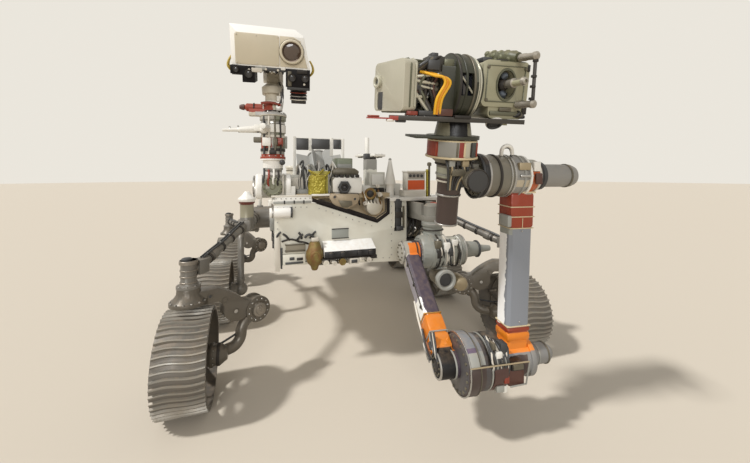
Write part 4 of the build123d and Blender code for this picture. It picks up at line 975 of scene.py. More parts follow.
@dataclass
class Studio:
    """Camera, floor and lamps. Lengths are metres, and pixels are the photo's own."""

    photo_width: float = 750.0
    photo_height: float = 463.0
    focal_pixels: float = 335.0
    horizon_pixel: float = 173.6
    heading: float = 18.25
    ahead_of_axle: float = 3.144
    to_the_right: float = 0.679
    eye_height: float = 1.268
    sensor: float = 36.0
    floor_radius: float = 60.0

    def build(self) -> None:
        """Builds everything that isn't part of the rover."""
        self.camera()
        self.floor()
        self.lamps()
        self.world()

    def camera(self) -> None:
        """Puts the camera where the photo was taken from."""
        place = (axle_x() + self.ahead_of_axle, -self.to_the_right, self.eye_height)
        bpy.ops.object.camera_add(location=place)
        camera = bpy.context.object
        turn = radians(self.heading)
        look = Vector((-cos(turn), sin(turn), 0.0))
        camera.rotation_euler = look.to_track_quat("-Z", "Y").to_euler()
        camera.data.sensor_width = self.sensor
        camera.data.sensor_fit = "HORIZONTAL"
        camera.data.lens = self.sensor * self.focal_pixels / self.photo_width
        camera.data.shift_y = (self.horizon_pixel - self.photo_height / 2) / self.photo_width
        camera.data.clip_start = 0.05
        camera.data.clip_end = 200.0
        bpy.context.scene.camera = camera

    def floor(self) -> None:
        """Lays a wide pale floor."""
        Shop.clear()
        bpy.ops.mesh.primitive_circle_add(vertices=96, radius=self.floor_radius, fill_type="NGON")
        floor = bpy.context.object
        floor.name = "studio_floor"
        material = bpy.data.materials.new("floor_pale")
        material.use_nodes = True
        tree = material.node_tree
        pale = {"Base Color": (0.62, 0.55, 0.45, 1.0), "Roughness": 0.95}
        feed(tree, tree.nodes["Principled BSDF"], pale)
        floor.data.materials.append(material)

    def lamps(self) -> None:
        """Lights the rover from the upper left behind it, like the photo's sun, with a soft fill."""
        for name, energy, angle, direction in (
            ("key_lamp", 2.7, 5.0, (-0.10, 0.80, -0.95)),
            ("fill_lamp", 1.35, 30.0, (-1.0, 0.25, -0.35)),
        ):
            bpy.ops.object.light_add(type="SUN", location=(0.0, 0.0, 8.0))
            lamp = bpy.context.object
            lamp.name = name
            lamp.data.energy = energy
            lamp.data.angle = radians(angle)
            lamp.rotation_euler = Vector(direction).to_track_quat("-Z", "Y").to_euler()

    def world(self) -> None:
        """Surrounds the rover with an even pale light, which the camera sees as a pale backdrop."""
        world = bpy.data.worlds.new("studio_light")
        bpy.context.scene.world = world
        world.use_nodes = True
        tree = world.node_tree
        light = tree.nodes["Background"]
        feed(tree, light, {"Color": (0.93, 0.92, 0.90, 1.0), "Strength": 0.42})
        seen = add_node(tree, "Background", {"Color": (0.90, 0.86, 0.78, 1.0), "Strength": 0.92})
        rays = add_node(tree, "LightPath", {}, "Is Camera Ray").node.outputs
        seen_by = maths(tree, "MAXIMUM", rays["Is Camera Ray"], rays["Is Glossy Ray"])
        seen_by = maths(tree, "MAXIMUM", seen_by, rays["Is Transmission Ray"])
        both = add_node(tree, "MixShader", {0: seen_by, 1: light.outputs[0], 2: seen})
        feed(tree, tree.nodes["World Output"], {"Surface": both})


@dataclass
class Wheels:
    """Six machined wheels: a thin drum with wavy lugs, rims, curved spokes and a bolted hub."""

    tip: float = 262.8
    skin: float = 253.0
    half: float = 120.0
    lugs: int = 48
    lug_steps: int = 12
    wave: float = 6.0
    spokes: int = 8
    bow: float = 24.0
    hub: float = 62.0
    half_track: float = 1070.0
    centre: float = 263.0
    spacing: float = 1100.0
    roll: float = 0.013

    def build(self) -> None:
        """Makes one wheel and copies it to the six places."""
        parts = [self.drum(), self.lug_ring(), *self.spoke_ring(), *self.hub_pieces()]
        wheel = Shop.place(parts, Matrix.Identity(4))
        for name, axle, side in (
            ("front", self.spacing, -1), ("middle", 0.0, -1), ("rear", -self.spacing, -1),
            ("front", self.spacing, 1), ("middle", 0.0, 1), ("rear", -self.spacing, 1)
        ):
            node = f"wheel_{name}_{'right' if side < 0 else 'left'}"
            place = ROVER @ Matrix.Translation(
                (axle * METRES, side * self.half_track * METRES, self.centre * METRES))
            Shop.register(
                Shop.copied(wheel, place @ spin_about("Y", axle * self.roll)), node + "_machined", node,
                "wheel_metal", node)
        bpy.data.objects.remove(wheel)

    def drum(self) -> Piece:
        """The thin drum with its rims and middle rib.

        Returns:
            The piece, in millimetres.
        """
        half, skin = self.half, self.skin
        section = [
            (-half, skin - 15), (-half, skin - 3), (-half + 7, skin), (half - 7, skin), (half, skin - 3),
            (half, skin - 15), (half - 9, skin - 15), (half - 9, skin - 7), (9, skin - 7), (8, skin - 14),
            (-8, skin - 14), (-9, skin - 7), (9 - half, skin - 7), (9 - half, skin - 15)]
        return Shop.dress(Shop.ring((0, 0, 0), (0, 1, 0), section, 96), SKIN)

    def lug_ring(self) -> Piece:
        """One wavy lug across the drum, repeated round it.

        Returns:
            The piece, in millimetres.
        """
        foot, top = 8.0, 3.2
        first = [(self.skin - 1, foot), (self.tip, top), (self.tip, -top), (self.skin - 1, -foot)]
        lug = Shop.outlined([(out, 2.0 - self.half, aside) for out, aside in first])
        step = (2 * self.half - 4) / self.lug_steps
        for n in range(self.lug_steps):
            here, there = (self.wave * sin(2 * pi * k / self.lug_steps) for k in (n, n + 1))
            bpy.ops.mesh.extrude_region_move(TRANSFORM_OT_translate={"value": (0, step, there - here)})
        Shop.closed()
        Shop.dress(lug, TREAD)
        return Shop.round_array(lug, self.lugs, (0, 1, 0))

    def spoke_ring(self) -> list[Piece]:
        """One bowed spoke with its foot, repeated round the hub.

        Returns:
            The pieces, in millimetres.
        """
        start, reach, thick = self.hub - 8, self.skin - 8, 8.0
        line = [(start + (reach - start) * k / 9, self.bow * sin(pi * k / 9)) for k in range(10)]
        outline = [(r, s + thick / 2) for r, s in line] + [(r, s - thick / 2) for r, s in reversed(line)]
        spoke = Shop.cut(outline, 56, 1.5, -28, "Y")
        foot = Shop.block((reach - 16, -30, -16), (reach, 30, 16), 4)
        spoke = Shop.joined([Shop.dress(spoke, DRIVE), Shop.dress(foot, DRIVE)])
        return [Shop.round_array(spoke, self.spokes, (0, 1, 0))]

    def hub_pieces(self) -> list[Piece]:
        """The hub with its flanges, cap and bolts.

        Returns:
            The pieces, in millimetres.
        """
        hub = Shop.turned(
            (0, -36, 0), (0, 36, 0),
            [(0, 54), (3, 61), (14, self.hub), (16, 52), (56, 52), (58, self.hub), (69, 61), (72, 54)])
        cap = Shop.turned((0, 0, 0), (0, 1, 0), [(30, 34), (40, 34), (44, 28), (46, 10)], 24)
        return [
            Shop.dress(hub, DRIVE), Shop.dress(cap, DARK), Shop.bolts((0, 36, 0), (0, 1, 0), 46, 8, 5),
            Shop.bolts((0, -36, 0), (0, -1, 0), 46, 8, 5)]


@dataclass
class SteeredLegs:
    """Four legs that steer the corner wheels: bolted ring, arch, knuckle, tube and wheel drive."""

    half_track: float = 1070.0
    spacing: float = 1100.0
    ring_face: float = 581.0
    wheel_z: float = 263.0
    ring: float = 95.0
    knuckle_back: float = 144.0
    knuckle_in: float = 334.0
    knuckle_z: float = 448.0
    knuckle: float = 76.0
    arch_half: float = 44.0

    def build(self) -> None:
        """Finishes each corner's leg and adds its bolts, ports and cable."""
        for end, fore in (("front", 1), ("rear", -1)):
            for side_name, side in (("right", -1), ("left", 1)):
                node = f"steered_leg_{end}_{side_name}"
                Shop.refinish(node, 4.0, "grey_metal", LEG, f"steer_{end}_{side_name}", "cast")
                Shop.register(
                    Shop.place(self.fittings(fore, side), ROVER), node + "_fittings",
                    f"steer_{end}_{side_name}", "dark_metal")

    def fittings(self, fore: int, side: int) -> Tray:
        """Makes what is bolted to one leg.

        Args:
            fore: 1 for a front leg and -1 for a rear one.
            side: -1 on the right and 1 on the left.

        Returns:
            The pieces, in millimetres.
        """
        axle, out = fore * self.spacing, side * self.half_track
        inward = -side
        knuckle = Vector((axle - fore * self.knuckle_back, out + inward * self.knuckle_in, self.knuckle_z))
        facing = Vector((cos(radians(30)), inward * sin(radians(30)), 0))
        parts = Tray([
            Shop.bolts((axle, out, self.ring_face), (0, 0, 1), self.ring * 0.93, 14, 5.5),
            Shop.bolts(tuple(knuckle + facing * 46), tuple(facing), self.knuckle * 0.8, 12, 5),
            Shop.bolts(tuple(knuckle - facing * 46), tuple(-facing), self.knuckle * 0.75, 8, 5)])
        parts.add(DRIVE, Shop.turned(
            tuple(knuckle + facing * 56), tuple(knuckle + facing * 57),
            [(0, 40), (8, 40), (11, 34), (11, 26), (15, 24), (17, 12)], 28))
        ahead = Vector((-fore * self.knuckle_back, inward * self.knuckle_in, 0)).normalized()
        across = Vector((ahead.y, -ahead.x, 0))
        foot = Vector((axle, out, 0))
        for along, height, radius, inside in (
            (96, 590, 9, BLACK), (176, 548, 13, LEG), (236, 470, 11, STEEL)
        ):
            for face in (-1, 1):
                centre = foot + ahead * along + across * (face * self.arch_half) + Vector((0, 0, height))
                parts += Shop.port(tuple(centre), tuple(across * face), radius, 5, LEG, inside)
        hub_start = Vector((axle, out + inward * 150, self.wheel_z))
        parts += [
            Shop.band(tuple(hub_start), tuple(hub_start + Vector((0, inward, 0))), 56, 16, 3, DARK),
            Shop.bolts((axle, out + inward * 124, self.wheel_z), (0, inward, 0), 59.5, 10, 3)]
        lead = [
            knuckle + Vector((0, 0, -60)), knuckle + ahead * -60 + Vector((0, 0, -110)),
            foot + ahead * 150 + across * 30 + Vector((0, 0, 300)),
            foot + ahead * 110 + across * 26 + Vector((0, 0, 300)), foot + ahead * 70 + Vector((0, 0, 318))]
        parts.add(BLACK, Shop.tube([tuple(p) for p in lead], 6))
        return parts


@dataclass
class Suspension:
    """What is fitted to the rockers and bogies: drive caps, clamps, cables, hub covers and bolts."""

    half_track: float = 1070.0
    spacing: float = 1100.0
    drive_top: float = 778.0
    drive: float = 40.0
    post: Point = (550.0, -800.0, 1085.0)
    knee: Point = (550.0, -800.0, 910.0)
    hub: Point = (150.0, -760.0, 900.0)
    bogie: Point = (-500.0, -925.0, 740.0)
    bend: Point = (1045.0, -1022.0, 752.0)

    def build(self) -> None:
        """Finishes both sides."""
        for side_name, side in (("right", -1), ("left", 1)):
            for node in ("rocker_", "bogie_"):
                Shop.refinish(node + side_name, 2.5, "grey_metal", ROCKER_PAINT, "chassis", "tubes")
            Shop.register(
                Shop.place(self.fittings(side), ROVER), "suspension_fittings_" + side_name, "chassis",
                "dark_metal")

    def fittings(self, side: int) -> Tray:
        """Makes the fittings of one side.

        Args:
            side: -1 on the right and 1 on the left.

        Returns:
            The pieces, in millimetres.
        """
        def to_side(point: Point) -> Point:
            """Moves a point of the right side to this side."""
            return (point[0], -side * point[1], point[2])

        parts = Tray()
        for axle in (self.spacing, -self.spacing):
            foot = (axle, side * self.half_track, self.drive_top)
            cap = Shop.turned(
                foot, (foot[0], foot[1], foot[2] + 1),
                [(1, self.drive + 7), (18, self.drive + 7), (22, self.drive + 3), (22, 24)], 32)
            knob = Shop.turned(
                (foot[0] + 6, foot[1] - 8, foot[2] + 20), (foot[0] + 6, foot[1] - 8, foot[2] + 21),
                [(0, 27), (10, 27), (14, 22), (16, 12)], 20)
            parts.add(DRIVE, cap)
            parts.add(BLACK, knob)
            for height in (-32, -64, -96):
                parts.append(Shop.band((foot[0], foot[1], foot[2] + height), foot, self.drive, 7, 4, DRIVE))
            parts.append(Shop.bolts((foot[0], foot[1], 664), (0, 0, 1), 54, 8, 4.5))
            parts.blocks(4, ((axle - 60, foot[1] - 14, 690), (axle - 32, foot[1] + 14, 730), DARK))
        parts += self.tube_run(to_side(self.knee), to_side(self.bend), (0.2, 0.42, 0.62, 0.86), 27)
        parts += self.tube_run(to_side(self.hub), to_side(self.knee), (0.3, 0.55), 48)
        parts += self.tube_run(
            to_side(self.bogie), to_side((-self.spacing, -self.half_track, 714.0)), (0.25, 0.5, 0.85), 27)
        hub = to_side((self.hub[0], -790.0, self.hub[2]))
        outward = (0, side, 0)
        parts += [Shop.bolts(hub, outward, 56, 10, 6), Shop.bolts(to_side(self.bogie), outward, 44, 8, 5)]
        post = to_side(self.post)
        parts += [
            Shop.bolts((post[0], post[1], post[2] + 4), (0, 0, 1), 52, 8, 4.5),
            Shop.band((post[0], post[1], 1066), post, 47, 18, 6, WHITE)]
        return parts

    def tube_run(self, start: Point, end: Point, shares: tuple[float, ...], radius: float) -> Tray:
        """Clamps and a pair of cables along one tube.

        Args:
            start: The tube's start.
            end: The tube's end.
            shares: Where the clamps sit, as shares of the way.
            radius: The tube's radius.

        Returns:
            The clamps and the cables, in millimetres.
        """
        first, last = Vector(start), Vector(end)
        along = (last - first).normalized()
        level = along.cross(Vector((0, 0, 1))).normalized()
        up = level.cross(along)
        parts = Tray()
        for share in shares:
            middle = first.lerp(last, share)
            parts += [
                Shop.band(tuple(middle), tuple(middle + along), radius, 16, 5, DARK),
                Shop.bolts(tuple(middle + up * (radius + 7) - up * 5), tuple(up), 1.0, 1, 6)]
        for aside in (-9, 8):
            line = []
            for t in (0.04, 0.18, 0.34, 0.5, 0.66, 0.82, 0.95):
                lift = up * (radius + 6 + 3 * sin(9 * t)) + level * (aside + 3 * sin(7 * t))
                line.append(tuple(first.lerp(last, t) + lift))
            parts.add(BLACK, Shop.tube(line, 5.5))
        return parts


@dataclass
class Body:
    """The housing with its front panel, sampling bay, shelf, deck and what stands on it."""

    panel: float = 950.0
    screw: float = 4.0

    def build(self) -> None:
        """Finishes the body's nodes and adds its fittings."""
        for node, edge, slot, finish in (
            ("body_housing", 6.0, "white_paint", HOUSING), ("front_panel", 2.5, "white_paint", PANEL),
            ("top_deck", 3.0, "white_paint", WHITE), ("sampling_bay", 1.5, "tan_lining", TAN),
            ("belly_plate", 2.0, "white_paint", WHITE), ("camera_shelf", 3.0, "white_paint", SHELF),
            ("lens_box", 3.0, "white_paint", LENS_BOX), ("deck_boxes", 4.0, "white_paint", DECK_PAINT),
            ("target_box", 2.0, "orange_paint", TARGET), ("differential_bar", 3.0, "grey_metal", WHITE)
        ):
            Shop.refinish(node, edge, slot, finish)
        for name, slot, parts in (
            ("front_panel_fittings", "white_paint", self.panel_fittings()),
            ("front_instruments", "olive_metal", self.instruments()),
            ("sampling_bay_fittings", "tan_lining", self.bay_fittings()),
            ("lens_and_foil", "white_paint", self.lens_and_foil()),
            ("deck_fittings", "white_paint", self.deck_fittings()),
            ("deck_cables", "dark_metal", self.deck_cables()),
            ("corner_harness", "black_paint", self.corner_harness()),
            ("side_fittings", "white_paint", self.side_fittings())
        ):
            Shop.register(Shop.place(parts, ROVER), name, "chassis", slot)

    def screws(self, start: Point, end: Point, count: int, axis: Point) -> Piece:
        """A row of screw heads between two points on a face.

        Args:
            start: The first head's place.
            end: The last head's place.
            count: How many heads.
            axis: The way they point.

        Returns:
            The piece, in millimetres.
        """
        screw = Shop.screw(start, axis, self.screw)
        step = (Vector(end) - Vector(start)) / (count - 1)
        return Shop.repeated(screw, count, Matrix.Translation(step))

    def panel_fittings(self) -> Tray:
        """Screws, edge strips, brackets and small boxes of the front panel.

        Returns:
            The pieces, in millimetres.
        """
        x = self.panel
        parts = Tray([
            self.screws((x, -600, 1052), (x, -420, 1052), 6, (1, 0, 0)),
            self.screws((x, -602, 720), (x, -602, 1000), 8, (1, 0, 0)),
            self.screws((x, 165, 700), (x, 165, 1040), 8, (1, 0, 0)),
            self.screws((x, -130, 705), (x, 150, 680), 7, (1, 0, 0)),
            self.screws((x, -340, 1040), (x, 20, 910), 9, (1, 0, 0))])
        parts.add(BLACK, Shop.ring(
            (985, -525, 1026), (985, -500, 1026), [(0, 20), (12, 22), (12, 33), (2, 34), (0, 33)], 28))
        parts.append(Shop.band((985, -632, 1026), (985, -600, 1026), 30, 10, 3, STEEL))
        parts.add(PALE, Shop.cut(
            [(-618, 660), (-590, 655), (-584, 700), (-590, 880), (-600, 895), (-618, 895)], 26, 2, x))
        parts.blocks(
            3, ((x, -583, 668), (x + 14, -572, 800), BLACK),
            ((x + 24, -556, 700), (x + 42, -446, 712), BLACK),
            ((x + 24, -530, 724), (x + 38, -500, 742), BLACK),
            ((x + 24, -486, 720), (x + 40, -448, 736), DARK), ((x, -556, 772), (x + 20, -430, 782), CAST),
            ((x, -556, 812), (x + 20, -430, 822), CAST), ((x, -566, 700), (x + 10, -420, 704), DARK),
            ((x, -258, 836), (x + 11, -142, 842), DARK), ((x, -258, 898), (x + 11, -142, 904), DARK),
            ((x, 196, 870), (x + 16, 226, 1090), BLACK), ((x, 244, 884), (x + 12, 262, 1040), CAST),
            ((x, 190, 1030), (x + 34, 232, 1080), BLACK), ((x, 192, 960), (x + 30, 240, 1000), DARK),
            ((x, 196, 872), (x + 34, 244, 900), BLACK))
        for y, z, lean in (
            (-612, 893, 18), (-530, 880, -26), (-486, 872, 24), (-452, 884, -14), (-398, 886, 20)
        ):
            parts.add(BLACK, Shop.tube(
                [(x - 2, y, z - 34), (x + 26, y + lean * 0.3, z - 20), (x + 34, y + lean, z + 4),
                 (x + 36, y + lean * 1.6, z + 12)], 7))
        for y0, z0, y1, z1 in ((-575, 838, -520, 850), (-520, 850, -470, 832), (-470, 832, -410, 815)):
            parts.add(DARK, Shop.tube(
                [(x + 6, y0, z0), (x + 14, (y0 + y1) / 2, (z0 + z1) / 2 + 8), (x + 6, y1, z1)], 6))
        return parts

    def instruments(self) -> Tray:
        """The gilded sensor beside the shelf, and the row of small cameras and sockets below it.

        Returns:
            The pieces, in millimetres.
        """
        x = 1000.0
        drum = Shop.turned(
            (x, -376, 656), (x, -376, 840),
            [(0, 16), (6, 20), (26, 26), (48, 46), (84, 56), (118, 54), (140, 42), (166, 36), (178, 30),
             (184, 18)], 32)
        parts = Tray()
        parts.add(BRASS, drum)
        parts.add(BRASS, Shop.turned((x + 40, -376, 752), (x + 90, -376, 750),
                                     [(0, 34), (16, 34), (20, 28), (20, 18), (24, 16)], 28))
        parts.blocks(5, ((self.panel - 2, -400, 730), (x - 20, -352, 790), DARK))
        parts.add(BLACK, Shop.tube(
            [(x, -376, 838), (x, -380, 862), (x, -404, 884), (x, -428, 880), (x - 4, -436, 862)], 8))
        parts.blocks(5, ((x - 20, -398, 838), (x + 20, -354, 862), PALE))
        for y, radius, long, finish in (
            (-312, 17, 62, BEIGE), (-262, 13, 80, PALE), (-206, 20, 58, BRASS), (-30, 14, 60, PALE)
        ):
            parts.add(finish, Shop.turned(
                (1000, y, 706), (1001, y, 706),
                [(0, radius + 3), (10, radius + 3), (12, radius), (long - 8, radius),
                 (long - 6, radius + 2), (long, radius + 2), (long, radius * 0.6),
                 (long - 5, radius * 0.5)], 24))
            parts.blocks(4, ((952, y - radius - 6, 690), (1004, y + radius + 6, 724), DARK))
        parts.blocks(
            4, ((952, -340, 722), (1046, 6, 730), DARK), ((960, -160, 684), (1050, -96, 722), PALE),
            ((1048, -148, 692), (1054, -108, 714), BLACK), ((958, -92, 690), (1036, -54, 722), BEIGE),
            ((956, 2, 700), (1010, 40, 724), DARK), ((956, -350, 676), (980, 20, 686), CAST))
        for y in (-240, -180, -70):
            parts.append(Shop.bolts((1050, y, 716), (1, 0, 0), 9, 4, 3))
        return parts

    def bay_fittings(self) -> Tray:
        """The bay's dark gasket with a thin dark tube of painted shade just inside it, and the arm, wheel
        and cover plates in it.

        Returns:
            The pieces, in millimetres.
        """
        edge = [(-386, 1096), (59, 940), (140, 993), (140, 1096)]
        parts = Tray()
        parts.add(GASKET, Shop.tube([(950, y, z) for y, z in edge], 14, 2, True))
        # Painted shade: a thin dark tube along the bay's inner edge, inside the gasket.
        painted_shade_rim = [(-330, 1094), (54, 958), (124, 1002), (124, 1094)]
        parts.add(DARK, Shop.tube([(938, y, z) for y, z in painted_shade_rim], 5, 2, True))
        parts.add(BRACKET, Shop.cut(
            [(-262, 1136), (-70, 1128), (-62, 1096), (-84, 1060), (-140, 1030), (-196, 1030), (-250, 1068),
             (-272, 1106)], 30, 6, 918))
        for y, z in ((-236, 1112), (-98, 1096)):
            parts += Shop.port((949, y, z), (1, 0, 0), 9, 6, BRACKET, BLACK)
        parts.add(CAST, Shop.cut(
            [(-214, 1090), (-120, 1084), (-116, 1056), (-150, 1040), (-190, 1044)], 10, 3, 947))
        parts.add(BEIGE, Shop.turned(
            (810, 56, 1040), (890, 66, 1036), [(0, 60), (50, 66), (74, 62), (80, 50), (82, 22)], 36))
        for n in range(7):
            y = -60 + 26 * n
            parts.add((DARK, BRASS, PALE, CAST, DARK, STEEL, BRASS)[n], Shop.tube(
                [(870, y, 1150), (900, y + 18 * sin(2 * n), 1120), (906, y + 10 * sin(n), 1080),
                 (880, y + 14, 1050)], 6))
        parts.add(BRASS, Shop.ring(
            (905, 26, 1128), (950, 6, 1126), [(0, 24), (16, 26), (18, 34), (10, 42), (-4, 40)], 32))
        parts.add(DARK, Shop.turned((893, 26, 1128), (950, 6, 1126), [(0, 24), (22, 22), (26, 12)], 24))
        for y, z, radius in ((96, 1120, 17), (-12, 1060, 15), (80, 1180, 14)):
            parts.add(PALE, Shop.turned(
                (880, y, z), (930, y, z), [(0, radius), (30, radius), (34, radius - 5), (48, radius - 6)],
                20))
        parts.blocks(4, ((860, -20, 1100), (905, 120, 1116), CAST))
        return parts

    def lens_and_foil(self) -> Tray:
        """The lens with its six-sided ring, the white box's trim, and the crumpled foil bag.

        Returns:
            The pieces, in millimetres.
        """
        hexagon = Shop.ring(
            (926, -166, 1176), (960, -166, 1176),
            [(0, 27), (13, 27), (16, 30), (16, 40), (10, 46), (0, 46)], 6)
        parts = Tray()
        parts.add(BLACK, hexagon)
        parts.add(DARK, Shop.ring(
            (930, -166, 1176), (960, -166, 1176), [(0, 15), (10, 15), (12, 18), (8, 24), (0, 24)], 28))
        parts.add(GLASS, Shop.turned((932, -166, 1176), (960, -166, 1176), [(0, 14), (3, 14), (7, 8)], 24))
        parts.add(WHITE, Shop.cut(
            [(-240, 1142), (-40, 1130), (-34, 1200), (-62, 1236), (-226, 1242), (-244, 1222)], 18, 6, 894))
        for y in (-214, -176, -138, -100, -66):
            parts.blocks(4, ((872, y - 12, 1240), (905, y + 12, 1262), DARK))
        parts.add(CAST, Shop.cut(
            [(-232, 1262), (-50, 1256), (-42, 1284), (-76, 1306), (-200, 1310), (-236, 1290)], 40, 8, 820))
        parts.append(self.foil_bag((858, -398, 1112), (902, -286, 1262)))
        for y0, z0, y1, z1 in (
            (-400, 1290, -330, 1252), (-300, 1296, -356, 1246), (-258, 1280, -320, 1230)
        ):
            parts.add(FOIL_BAG, Shop.tube(
                [(880, y0, z0), (896, (y0 + y1) / 2, (z0 + z1) / 2), (900, y1, z1)], 7))
        return parts

    def foil_bag(self, low: Point, high: Point) -> Piece:
        """A small crumpled foil bag, cut fine and pushed about by a pattern of cells.

        Args:
            low: Its lowest corner.
            high: Its highest corner.

        Returns:
            The piece, in millimetres.
        """
        bag = Shop.block(low, high, 16, 3)
        bpy.ops.object.mode_set(mode="EDIT")
        bpy.ops.mesh.select_all(action="SELECT")
        bpy.ops.mesh.subdivide(number_cuts=5)
        bpy.ops.object.mode_set(mode="OBJECT")
        cells = bpy.data.textures.new("foil_creases", "VORONOI")
        cells.noise_scale = 34.0
        push = bag.modifiers.new("creases", "DISPLACE")
        push.texture = cells
        push.texture_coords = "LOCAL"
        push.strength = 18.0
        push.mid_level = 0.45
        bpy.ops.object.modifier_apply(modifier=push.name)
        return Shop.dress(bag, FOIL_BAG)

    def deck_fittings(self) -> Tray:
        """Rail, brackets, slim post, calibration marks, boxes and hatches on the deck.

        Returns:
            The pieces, in millimetres.
        """
        parts = Tray()
        parts.blocks(3, ((936, -628, 1078), (966, -392, 1094), HAZE))
        parts.append(self.screws((966, -610, 1110), (966, -402, 1110), 8, (1, 0, 0)))
        parts.blocks(4, ((934, -640, 1118), (962, -386, 1130), PALE))
        for y in (-560, -500, -440):
            parts.blocks(2, ((962, y - 4, 1076), (970, y + 4, 1098), DARK))
        parts.add(CAST, Shop.turned(
            (925, 470, 1098), (925, 474, 1350),
            [(0, 16), (10, 16), (12, 9), (226, 8), (228, 16), (248, 16), (254, 8)], 20))
        parts.blocks(3, ((916, 448, 1100), (940, 458, 1300), FOIL_BAG))
        for y, z, radius in ((318, 1252, 11), (348, 1252, 11), (378, 1252, 11), (408, 1252, 11)):
            parts.add(BLACK, Shop.turned(
                (932, y, z), (940, y, z), [(-3, radius), (3, radius), (4, radius - 3)], 16))
        parts.blocks(3, ((846, 288, 1278), (938, 440, 1290), WHITE))
        parts += Shop.port((872, 195, 1228), (1, 0.1, 0.12), 15, 5, DARK, BLACK)
        parts.add(HAZE, Shop.turned(
            (850, 193, 1364), (850, 193, 1376), [(0, 9), (6, 12), (14, 9), (18, 3)], 16))
        parts.blocks(
            6, ((596, -480, 1100), (606, -458, 1545), WHITE), ((600, -456, 1444), (610, -366, 1532), BLACK),
            ((596, -365, 1440), (606, -344, 1530), WHITE), ((600, -342, 1452), (610, -206, 1530), BLACK),
            ((596, -178, 1456), (606, -116, 1530), BLACK), ((596, -114, 1100), (606, -92, 1540), WHITE),
            ((594, -478, 1528), (602, -94, 1538), WHITE), ((596, -204, 1400), (606, -180, 1545), WHITE),
            ((496, 90, 1384), (570, 130, 1430), BLACK), ((500, 140, 1382), (566, 182, 1404), DARK),
            ((700, 96, 1180), (716, 192, 1262), WHITE), ((700, 90, 1120), (712, 200, 1160), DARK),
            ((700, -170, 1300), (716, -60, 1340), HAZE), ((700, -550, 1130), (724, -410, 1240), PALE),
            ((720, -60, 1120), (800, 60, 1180), WHITE), ((720, -470, 1102), (790, -260, 1160), HAZE),
            ((560, 250, 1100), (700, 340, 1190), WHITE), ((300, 200, 1100), (470, 420, 1130), HAZE),
            ((300, -560, 1100), (380, -260, 1160), WHITE), ((880, -385, 1118), (930, -262, 1132), WHITE))
        parts.add(STEEL, Shop.turned(
            (-200, -420, 1210), (-200, -420, 1240), [(0, 70), (6, 76), (12, 70), (14, 50)], 36))
        for x, y in ((-640, 60), (-640, -120), (-420, 20), (60, 420), (60, -560), (420, 520)):
            parts.blocks(6, ((x - 50, y - 40, 1098), (x + 50, y + 40, 1118), WHITE))
            parts.append(Shop.bolts((x, y, 1118), (0, 0, 1), 38, 6, 4))
        for y in (-615, 615):
            parts.append(self.screws((-850, y, 1100), (900, y, 1100), 26, (0, 0, 1)))
        parts.append(self.screws((-866, -560, 1100), (-866, 560, 1100), 18, (0, 0, 1)))
        for a, b in ((-60, -60), (-60, 60), (60, -60), (60, 60)):
            parts.append(Shop.bolts((-675 + a, 300 + b, 1109), (0, 0, 1), 11, 6, 2.5))
        return parts

    def deck_cables(self) -> Tray:
        """Bundles of silver, black and white leads over the deck.

        Returns:
            The pieces, in millimetres.
        """
        parts = Tray()
        looks = (STEEL, BLACK, PALE, HAZE, DARK, WHITE)
        for n in range(26):
            y = -452 + 11.2 * n
            rise = 26 * sin(1.7 * n) + 18 * sin(0.6 * n + 1.0) - 20
            x = 690 + 24 * sin(2.3 * n)
            parts.add(looks[n % len(looks)], Shop.tube(
                [(x - 60, y - 20, 1180), (x - 10, y - 12 * sin(n), 1290 + rise),
                 (x + 22, y + 26 * sin(1.3 * n), 1350 + rise), (x + 40, y + 18, 1290 + rise * 0.4),
                 (x + 30, y + 40 * sin(0.9 * n), 1190), (x + 26, y + 30, 1110)], 7 if n % 3 else 10, 2))
        for n in range(9):
            y = 40 + 30 * n
            parts.add(looks[(n + 1) % len(looks)], Shop.tube(
                [(720, y, 1104), (700, y + 20 * sin(2 * n), 1150 + 18 * sin(n)), (640, y + 50, 1160),
                 (560, y + 60 * sin(n), 1106)], 6, 2))
        for n in range(6):
            y = -90 - 36 * n
            parts.add(looks[(n + 2) % len(looks)], Shop.tube(
                [(480, y, 1104), (300, y - 20, 1112), (60, y + 30 * sin(n), 1108), (-320, y + 10, 1110),
                 (-700, y * 0.6, 1106), (-846, y * 0.4, 1104)], 7, 2))
        return parts

    def corner_harness(self) -> Tray:
        """Dark leads and clips in the body's cut-back corner, behind the arm's bracket.

        Returns:
            The pieces, in millimetres.
        """
        parts = Tray()
        for n in range(14):
            y = 290 + 18 * n
            z = 1060 - 22 * (n % 5)
            parts.add((BLACK, DARK, CAST, BLACK, STEEL)[n % 5], Shop.tube(
                [(806, y, z), (860, y + 20 * sin(n), z - 50 - 8 * n % 40),
                 (900, y + 30 * sin(2 * n), 900 - 10 * n % 60), (850, y - 20, 820), (802, y, 780)], 8, 2))
        parts.blocks(
            5, ((802, 300, 800), (840, 420, 900), CAST), ((802, 440, 740), (850, 560, 860), WHITE),
            ((802, 470, 900), (836, 580, 1040), HAZE), ((802, 320, 740), (830, 400, 780), DARK),
            ((884, 282, 820), (944, 292, 1040), BLACK), ((802, 300, 960), (850, 350, 1060), DARK))
        for y, z in ((330, 870), (500, 800), (520, 980)):
            parts.append(Shop.bolts((850, y, z), (1, 0, 0), 14, 5, 4))
        return parts

